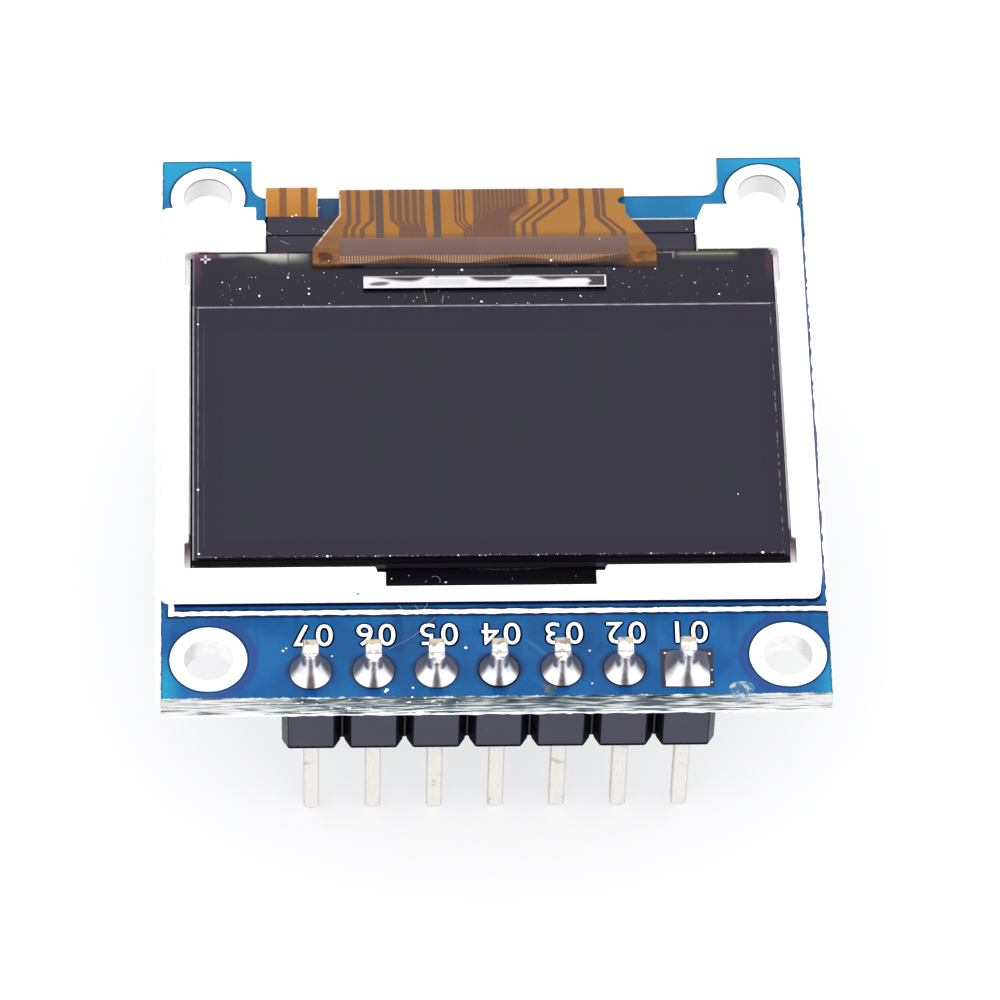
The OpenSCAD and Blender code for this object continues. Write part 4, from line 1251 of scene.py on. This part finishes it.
def make_display_flex():
    film = amber_finish("amber_film", "x", -6.5, 6.5, "B67A36", "BA7F38")
    softened("display_flex", 0.01, film, 1)
    softened("bond_film", 0.006, resin_finish(), 1)

    bm = bmesh.new()
    for x_bond, x_fold, slant_low, slant_high, width in TRACKS:
        stations = [(x_bond, cover_end), (x_bond, slant_low), (x_fold, slant_high), (x_fold, fold_start)]
        conductor(bm, flex_line, stations, width)
    thickened(bm, track_t)
    add_piece("flex_tracks", bm, track_finish("brown_tracks", "755244", "866050"))

    bm = bmesh.new()
    band_middle = (band_left + band_right) / 2
    band_points = [(band_middle, y, height_on(flex_line, y)) for y in (fingers_end, flex_bend_y, cover_end)]
    add_ribbon(bm, band_points, band_right - band_left)
    thickened(bm, 0.004)
    add_piece("flex_conductor_band", bm, band_finish())

    bm = bmesh.new()
    inset = 0.01
    left, right = flex_low.x + inset, flex_high.x - inset
    low, top = flex_high.z - 0.006, flex_high.z + 0.004
    left_end, right_end = 7.55, 7.5
    add_plate(bm, (left, flex_low.y + inset, low), (right, fingers_end, top))
    add_plate(bm, (left, fingers_end, low), (band_left, left_end, top))
    add_plate(bm, (band_right, fingers_end, low), (right, right_end, top))
    add_piece("flex_fingers", bm, bond_finish())

    # Resin that ran out in front of the bond, up the flex's cut end and a little over it
    flow = random.Random(9)
    phases = [flow.uniform(0, 2 * math.pi) for _ in range(4)]
    bm = bmesh.new()
    front = []
    count = 120
    for i in range(count + 1):
        x = flex_low.x + (flex_high.x - flex_low.x) * i / count
        swell = sum(math.sin(x * (0.7 + 0.9 * k) + p) / (k + 1) for k, p in enumerate(phases))
        front.append(bm.verts.new((x, flex_low.y - 0.09 - 0.035 * swell, array_high.z + 0.003)))
    edges = [bm.edges.new(pair) for pair in zip(front, front[1:])]
    for y, z in ((flex_low.y - 0.015, flex_high.z), (flex_low.y + 0.06, flex_high.z + 0.008)):
        spread = bmesh.ops.extrude_edge_only(bm, edges=edges)["geom"]
        edges = [e for e in spread if isinstance(e, bmesh.types.BMEdge)]
        for v in spread:
            if isinstance(v, bmesh.types.BMVert):
                v.co.y = y
                v.co.z = z
    thickened(bm, 0.01)
    add_piece("resin_fillet", bm, resin_finish(), crease=60)


def make_backlight_flex():
    film = amber_finish("amber_tab", "y", 10.2, 12.2, "C68233", "D2924A")
    softened("backlight_flex", 0.01, film, 1)
    track_w = 0.3
    track_start, track_end = 10.2, 11.2
    bm = bmesh.new()
    for x in (-8.58, -7.67):
        conductor(bm, tab_line, [(x, track_start), (x, track_end)], track_w)
    thickened(bm, track_t)
    add_piece("backlight_tracks", bm, track_finish("tab_tracks", "8A5E3C", "966842"))

    # Painted highlight: a pale plate along the edge of the lamp strip, where the tape stops short of it
    strip_left = 5.7
    bm = bmesh.new()
    add_plate(
        bm, (strip_left, cover_high.y - 0.03, tab_high.z),
        (cover_high.x, cover_high.y + 0.04, cover_high.z + 0.01))
    add_piece("lamp_strip_edge", bm, plain_finish("strip_edge", "C9D4E2", "F2F5F9", 4))


# The rear of the board

# Width and points of each track on the rear face
REAR_TRACKS = [
    (0.6, [(7.62, -11.2), (7.62, -7.7)]),
    (0.5, [(5.08, -11.2), (5.08, -9.6), (4.13, -8.65), (4.13, -8.2)]),
    (0.5, [(5.08, -5.8), (5.08, -4.6), (3.2, -2.7), (3.2, 5.57), (3.66, 6.03), (3.66, 8.2)]),
    (0.25, [(2.54, -11.2), (1.5, -10.2), (1.5, -0.4), (1.37, -0.2), (1.37, 8.2)]),
    (0.25, [(0, -11.2), (0, 0), (0.61, 0.61), (0.61, 8.2)]),
    (0.25, [(-2.54, -11.2), (-1.2, -9.86), (-1.2, 3.9), (-0.92, 4.2), (-0.92, 8.2)]),
    (0.25, [(-5.08, -11.2), (-5.08, -9.4), (-3.9, -8.2), (-3.9, 5.0), (-3.3, 5.57)]),
    (0.25, [(-1.9, 5.57), (-1.68, 5.8), (-1.68, 8.2)]),
    (0.3, [(-7.62, -11.2), (-7.62, -7.7)]),
    (0.3, [(-7.62, -6.3), (-7.62, -5.3), (-9.5, -3.4), (-9.5, 6.2), (-8.76, 6.94), (-8.76, 8.2)]),
    (0.4, [(-5.08, -5.8), (-5.08, 2.5), (-7.66, 5.1), (-7.66, 8.2)]),
    (0.4, [(1.9, 5.57), (1.9, 6.4), (2.13, 6.63), (2.13, 8.2)]),
    (0.25, [(2.54, -6.3), (2.54, -3.4), (3.2, -2.7)]),
    (0.25, [(-2.54, -6.3), (-2.54, 2.0), (-1.9, 2.64), (-1.9, 5.57)])]
VIAS = [(9.4, -9.6), (8.9, -4.1), (6.4, 1.2), (-6.6, -1.6), (-10.8, 2.4), (7.4, 5.2), (10.6, -2.2)]


def make_rear():
    # Copper, plating and print, from inside the board to below its rear face
    inside = 0.004
    track_low, via_low, pad_low = -0.006, -0.014, -0.02
    via_r = 0.32
    pad_round = 0.005
    print_w = 0.12
    joint_count = 13
    joint_half = 0.225

    bm = bmesh.new()
    for i, (width, points) in enumerate(REAR_TRACKS):
        add_track(bm, points, width, track_low - i * TRACK_STEP, inside)
    for via in VIAS:
        add_disc(bm, via, via_r, via_low, inside)
    mask = plain_finish(
        "mask_over_track", "2A7DC0", "3B93D2", 3, shine=0.15, rough=0.22, spread=0.1, depth=0.006)
    add_piece("rear_tracks", bm, mask)

    for node in ("regulator", "backlight_transistor"):
        softened(node, 0.03, package_finish(node))
    for n in (1, 2, 3):
        capacitor = f"capacitor_{n}"
        softened(capacitor, 0.04, capped_finish(capacitor, "6E5336", "8A6C49"))
        resistor = f"resistor_{n}"
        softened(resistor, 0.03, capped_finish(resistor, "121216", "1D1D22"))

    pads = bmesh.new()
    print_lines = bmesh.new()
    for kind in ("capacitor", "resistor"):
        for n in (1, 2, 3):
            low, high = node_box(f"{kind}_{n}")
            along = 0 if high.x - low.x > high.y - low.y else 1
            for end in (-1, 1):
                middle = (low + high) / 2
                middle[along] += end * 0.75
                half = Vector((0.5, 0.5))
                half[along] = 0.35
                add_plate(pads, (*(middle.xy - half), pad_low), (*(middle.xy + half), inside), pad_round)
            margin = Vector((0.25, 0.25))
            margin[along] = 0.45
            add_outline(print_lines, low.xy - margin, high.xy + margin, print_w, pad_low, inside)
    for node in ("regulator", "backlight_transistor"):
        low, high = node_box(node)
        middle = (low + high) / 2
        for x, y in ((middle.x - 0.95, low.y), (middle.x + 0.95, low.y), (middle.x, high.y)):
            add_plate(pads, (x - 0.32, y - 0.4, pad_low), (x + 0.32, y + 0.4, inside), pad_round)
        for end in (-1, 1):
            edge = middle.x + end * 1.65
            line = [(edge, middle.y - 0.7), (edge, middle.y + 0.7)]
            add_track(print_lines, line, print_w, pad_low, inside)
    joints_run = flex_joints_high.x - flex_joints_low.x - 2 * joint_half
    for i in range(joint_count):
        x = flex_joints_low.x + joint_half + joints_run * i / (joint_count - 1)
        add_plate(pads, (x - 0.24, 7.7, pad_low), (x + 0.24, 9.3, inside), pad_round)
    for x in (tab_joints_low.x + joint_half, tab_joints_high.x - joint_half):
        add_plate(pads, (x - 0.35, 7.6, pad_low), (x + 0.35, 9.3, inside), pad_round)
    add_piece("rear_pads", pads, tin_finish())
    add_piece("rear_legend", print_lines, ink_finish())
    solder = solder_finish()
    softened("flex_solder", 0.05, solder)
    softened("backlight_solder", 0.05, solder)


def dress_inner_layers():
    dressed("mounting_tape", plain_finish("mounting_tape", "D8D2BE", "E4DECB", 3))
    dressed("reflector_film", plain_finish("reflector_film", "ECECEC", "F6F6F6", 4))
    dressed("light_guide", plain_finish("light_guide", "D5DEE4", "E6EDF1", 2))
    film = plain_finish("optical_film", "D2D2DC", "E2E2EA", 6)
    for node in ("diffuser_film", "lower_prism_film", "upper_prism_film"):
        dressed(node, film)
    dressed("rear_polarizer", plain_finish("rear_polarizer", "201C26", "2A2631", 3))
    lamp = plain_finish("lamp_body", "E6E0C4", "F2EDD8", 5)
    for n in (1, 2):
        dressed(f"backlight_led_{n}", lamp)


# Dust, hairs and flux

def add_speck(bm, x, y, z, size, squash=0.5):
    place = Matrix.Translation((x, y, z)) @ Matrix.Diagonal((size, size * 0.9, size * squash, 1))
    bmesh.ops.create_icosphere(bm, subdivisions=1, radius=1, matrix=place)


# Larger specks: x, y and size, by what they lie on
LEDGE_SPECKS = [
    (-8.4, 6.33, 0.05), (-7.53, 5.47, 0.06), (-7.53, 5.75, 0.045), (-1.12, 6.67, 0.07), (5.25, 6.66, 0.05),
    (-0.35, 5.0, 0.06), (8.6, 5.9, 0.045), (9.6, 5.3, 0.05), (-10.4, 5.75, 0.045), (-9.6, 5.4, 0.05)]
FLEX_SPECKS = [(2.62, 7.03, 0.06), (-6.7, 7.1, 0.03), (4.7, 8.3, 0.035)]
POLARIZER_SPECKS = [
    (-12.145, 3.55, 0.05), (-12.145, -4.9, 0.06), (-12.11, -8.1, 0.06), (10.78, -8.27, 0.07),
    (9.9, -5.34, 0.035), (-6.9, -8.27, 0.06)]
NOTCH_SPECKS = [
    (-4.3, -8.75, 0.04), (-2.1, -8.95, 0.05), (-3.6, -8.6, 0.02), (3.2, -8.7, 0.015), (0.6, -8.8, 0.015)]
BOARD_SPECKS = [
    (-8.73, -11.47, 0.06), (-8.6, -11.35, 0.05), (-4.55, -13.42, 0.09), (-4.62, -13.5, 0.07),
    (-1.32, -11.4, 0.08), (-3.5, -13.33, 0.06), (-6.75, -11.75, 0.05), (3.7, -11.6, 0.06),
    (3.75, -13.2, 0.05), (6.75, -11.75, 0.06), (8.55, -11.8, 0.06), (8.62, -12.6, 0.05),
    (8.6, -13.2, 0.05), (-10.61, 13.33, 0.07)]
TAB_SPECKS = [(-8.03, 10.42, 0.05), (-8.2, 10.35, 0.05)]
STRIP_SPECKS = [(8.8, 9.2, 0.06), (-7.1, 9.15, 0.045), (-8.42, 9.5, 0.025)]
# Points and radius of each hair
HAIRS = [
    ([(-2.5, -9.95, 1.3), (-2.9, -10.3, 1.4), (-3.3, -10.95, 1.4), (-3.9, -11.2, 1.35),
      (-4.45, -11.5, 1.3)], 0.011),
    ([(-2.66, -8.78, 2.5), (-2.45, -8.69, 2.52), (-2.3, -8.84, 2.52), (-2.34, -9.06, 2.5)], 0.01),
    ([(-2.95, -9.05, 2.5), (-2.87, -8.93, 2.5)], 0.01),
    ([(-4.0, -9.32, 1.3), (-3.94, -9.4, 1.32), (-3.88, -9.52, 1.3)], 0.012),
    ([(-3.35, -9.33, 1.3), (-3.28, -9.48, 1.32), (-3.19, -9.58, 1.3)], 0.012),
    ([(-2.82, -9.23, 1.3), (-2.89, -9.4, 1.32), (-2.99, -9.53, 1.3)], 0.012),
    ([(-9.33, 9.49, 1.86), (-9.2, 9.42, 1.88), (-9.1, 9.33, 1.87)], 0.028),
    ([(-8.97, 9.2, 1.9), (-8.87, 9.14, 1.91)], 0.015),
    ([(-8.7, 8.96, 1.91), (-8.52, 8.86, 1.92), (-8.35, 8.78, 1.91)], 0.022),
    ([(-8.42, 6.36, 2.81), (-8.39, 6.45, 2.81), (-8.34, 6.6, 2.81)], 0.02),
    ([(-2.73, 5.65, 2.81), (-2.63, 4.98, 2.81)], 0.012), ([(-1.93, 5.32, 2.81), (-1.98, 4.93, 2.81)], 0.018),
    ([(-2.12, 5.64, 2.81), (-2.12, 5.48, 2.81)], 0.014),
    ([(-10.05, 5.75, 2.81), (-10.03, 5.93, 2.81)], 0.014), ([(8.55, 5.95, 2.81), (8.66, 5.84, 2.81)], 0.02)]


def make_dust():
    dust = white_finish("dust")
    scatter = random.Random(21)
    ledge_count, rim_count, strip_count = 150, 70, 16
    bm = bmesh.new()
    for _ in range(ledge_count):
        x = scatter.uniform(array_low.x + 1, array_high.x - 1)
        y = scatter.uniform(filter_high.y + 0.1, flex_low.y - 0.15)
        on_chip = chip_low.x - 0.1 < x < chip_high.x + 0.1 and chip_low.y - 0.1 < y < chip_high.y + 0.1
        if not on_chip:
            add_speck(bm, x, y, array_high.z, 0.008 + 0.035 * scatter.random() ** 4)
    for _ in range(rim_count):
        x = scatter.uniform(polarizer_low.x, polarizer_high.x)
        y = polarizer_low.y + scatter.uniform(-0.02, 0.05)
        add_speck(bm, x, y, polarizer_high.z, 0.008 + 0.03 * scatter.random() ** 4)
    for _ in range(strip_count):
        x = scatter.uniform(cover_low.x, cover_high.x)
        add_speck(bm, x, scatter.uniform(9.3, 10.0), cover_high.z, 0.012 + 0.02 * scatter.random())
    for x, y, size in FLEX_SPECKS:
        add_speck(bm, x, y, height_on(flex_line, y), size)
    for specks, z, squash in (
            (LEDGE_SPECKS, array_high.z, 0.5), (POLARIZER_SPECKS, polarizer_high.z, 0.3),
            (NOTCH_SPECKS, tape_high.z, 0.3), (BOARD_SPECKS, board_top + 0.01, 0.5),
            (TAB_SPECKS, tab_high.z + 0.02, 0.5), (STRIP_SPECKS, cover_high.z + 0.05, 0.5)):
        for x, y, size in specks:
            add_speck(bm, x, y, z, size, squash)
    add_piece("dust_specks", bm, dust, crease=80)
    hair = plain_finish("hair", "9C9AA0", "C4C2C8", 5)
    for i, (points, radius) in enumerate(HAIRS):
        add_piece(f"hair_{i + 1}", hair_bmesh(points, radius), hair, crease=80)


def make_flux():
    drops = (
        ("pale_flux", 9.8, -13.5, 0.9, 0.62, "6FA8D6", "E6F3FA", 0.95),
        ("olive_flux", 2.0, -13.42, 0.6, 0.42, "5B7454", "9AA986", 0.5))
    sunk, half_h = 0.18, 0.22
    for name, x, y, wide, deep, dark, light, cover in drops:
        bm = bmesh.new()
        place = Matrix.Translation((x, y, board_top - sunk)) @ Matrix.Diagonal((wide, deep, half_h, 1))
        bmesh.ops.create_uvsphere(bm, u_segments=32, v_segments=16, radius=1, matrix=place)
        finish = flux_finish(name, dark, light, cover, x, y, wide, deep)
        add_piece(f"{name}_drop", bm, finish, crease=80)


# Studio: floor, light and camera

def make_studio():
    floor_half = 0.6
    bm = bmesh.new()
    bmesh.ops.create_grid(bm, x_segments=8, y_segments=8, size=floor_half)
    bmesh.ops.translate(bm, vec=(0, 0, pin_boxes[1][0].z * MM), verts=bm.verts)
    mesh = bpy.data.meshes.new("floor")
    bm.to_mesh(mesh)
    bm.free()
    floor = bpy.data.objects.new("floor", mesh)
    bpy.context.scene.collection.objects.link(floor)
    paper = Finish("pale_floor", shine=0.0, roughness=0.9, emission_strength=0.67)
    paper.set("Base Color", colour("818183"))
    paper.set("Emission Color", colour("FFFFFF"))
    mesh.materials.append(paper.material)

    world = bpy.data.worlds.new("studio")
    world.use_nodes = True
    bpy.context.scene.world = world
    nodes = Nodes(world.node_tree)
    x, y, z = nodes.axes(nodes.node("ShaderNodeTexCoord", {}, {}, "Generated"))
    aisle = nodes.step(-1 * y, 0.35, 0.6) * nodes.within(z, -0.3, 0.7, 0.1)
    aisle = aisle * (1 - nodes.step(abs(x), 0.15, 0.4))
    background = world.node_tree.nodes["Background"]
    nodes.feed(background.inputs["Color"], nodes.mix(aisle, colour("FFFFFF"), colour("2C3448")))
    background.inputs["Strength"].default_value = LIGHT


def make_camera():
    camera = bpy.data.cameras.new("camera")
    camera.sensor_width = 36
    camera.lens = 257.18
    camera.clip_start = 0.01
    holder = bpy.data.objects.new("camera", camera)
    holder.location = Vector((-8.528, -175.003, 240.258)) * MM
    holder.rotation_euler = [math.radians(a) for a in (35.5918, -1.1034, -1.396)]
    bpy.context.scene.collection.objects.link(holder)
    bpy.context.scene.camera = holder
    bpy.context.scene.view_settings.view_transform = "Standard"


make_camera()
make_studio()
make_board()
make_legend()
make_frays()
make_solder()
make_header()
make_display()
make_display_flex()
make_backlight_flex()
make_rear()
dress_inner_layers()
make_dust()
make_flux()
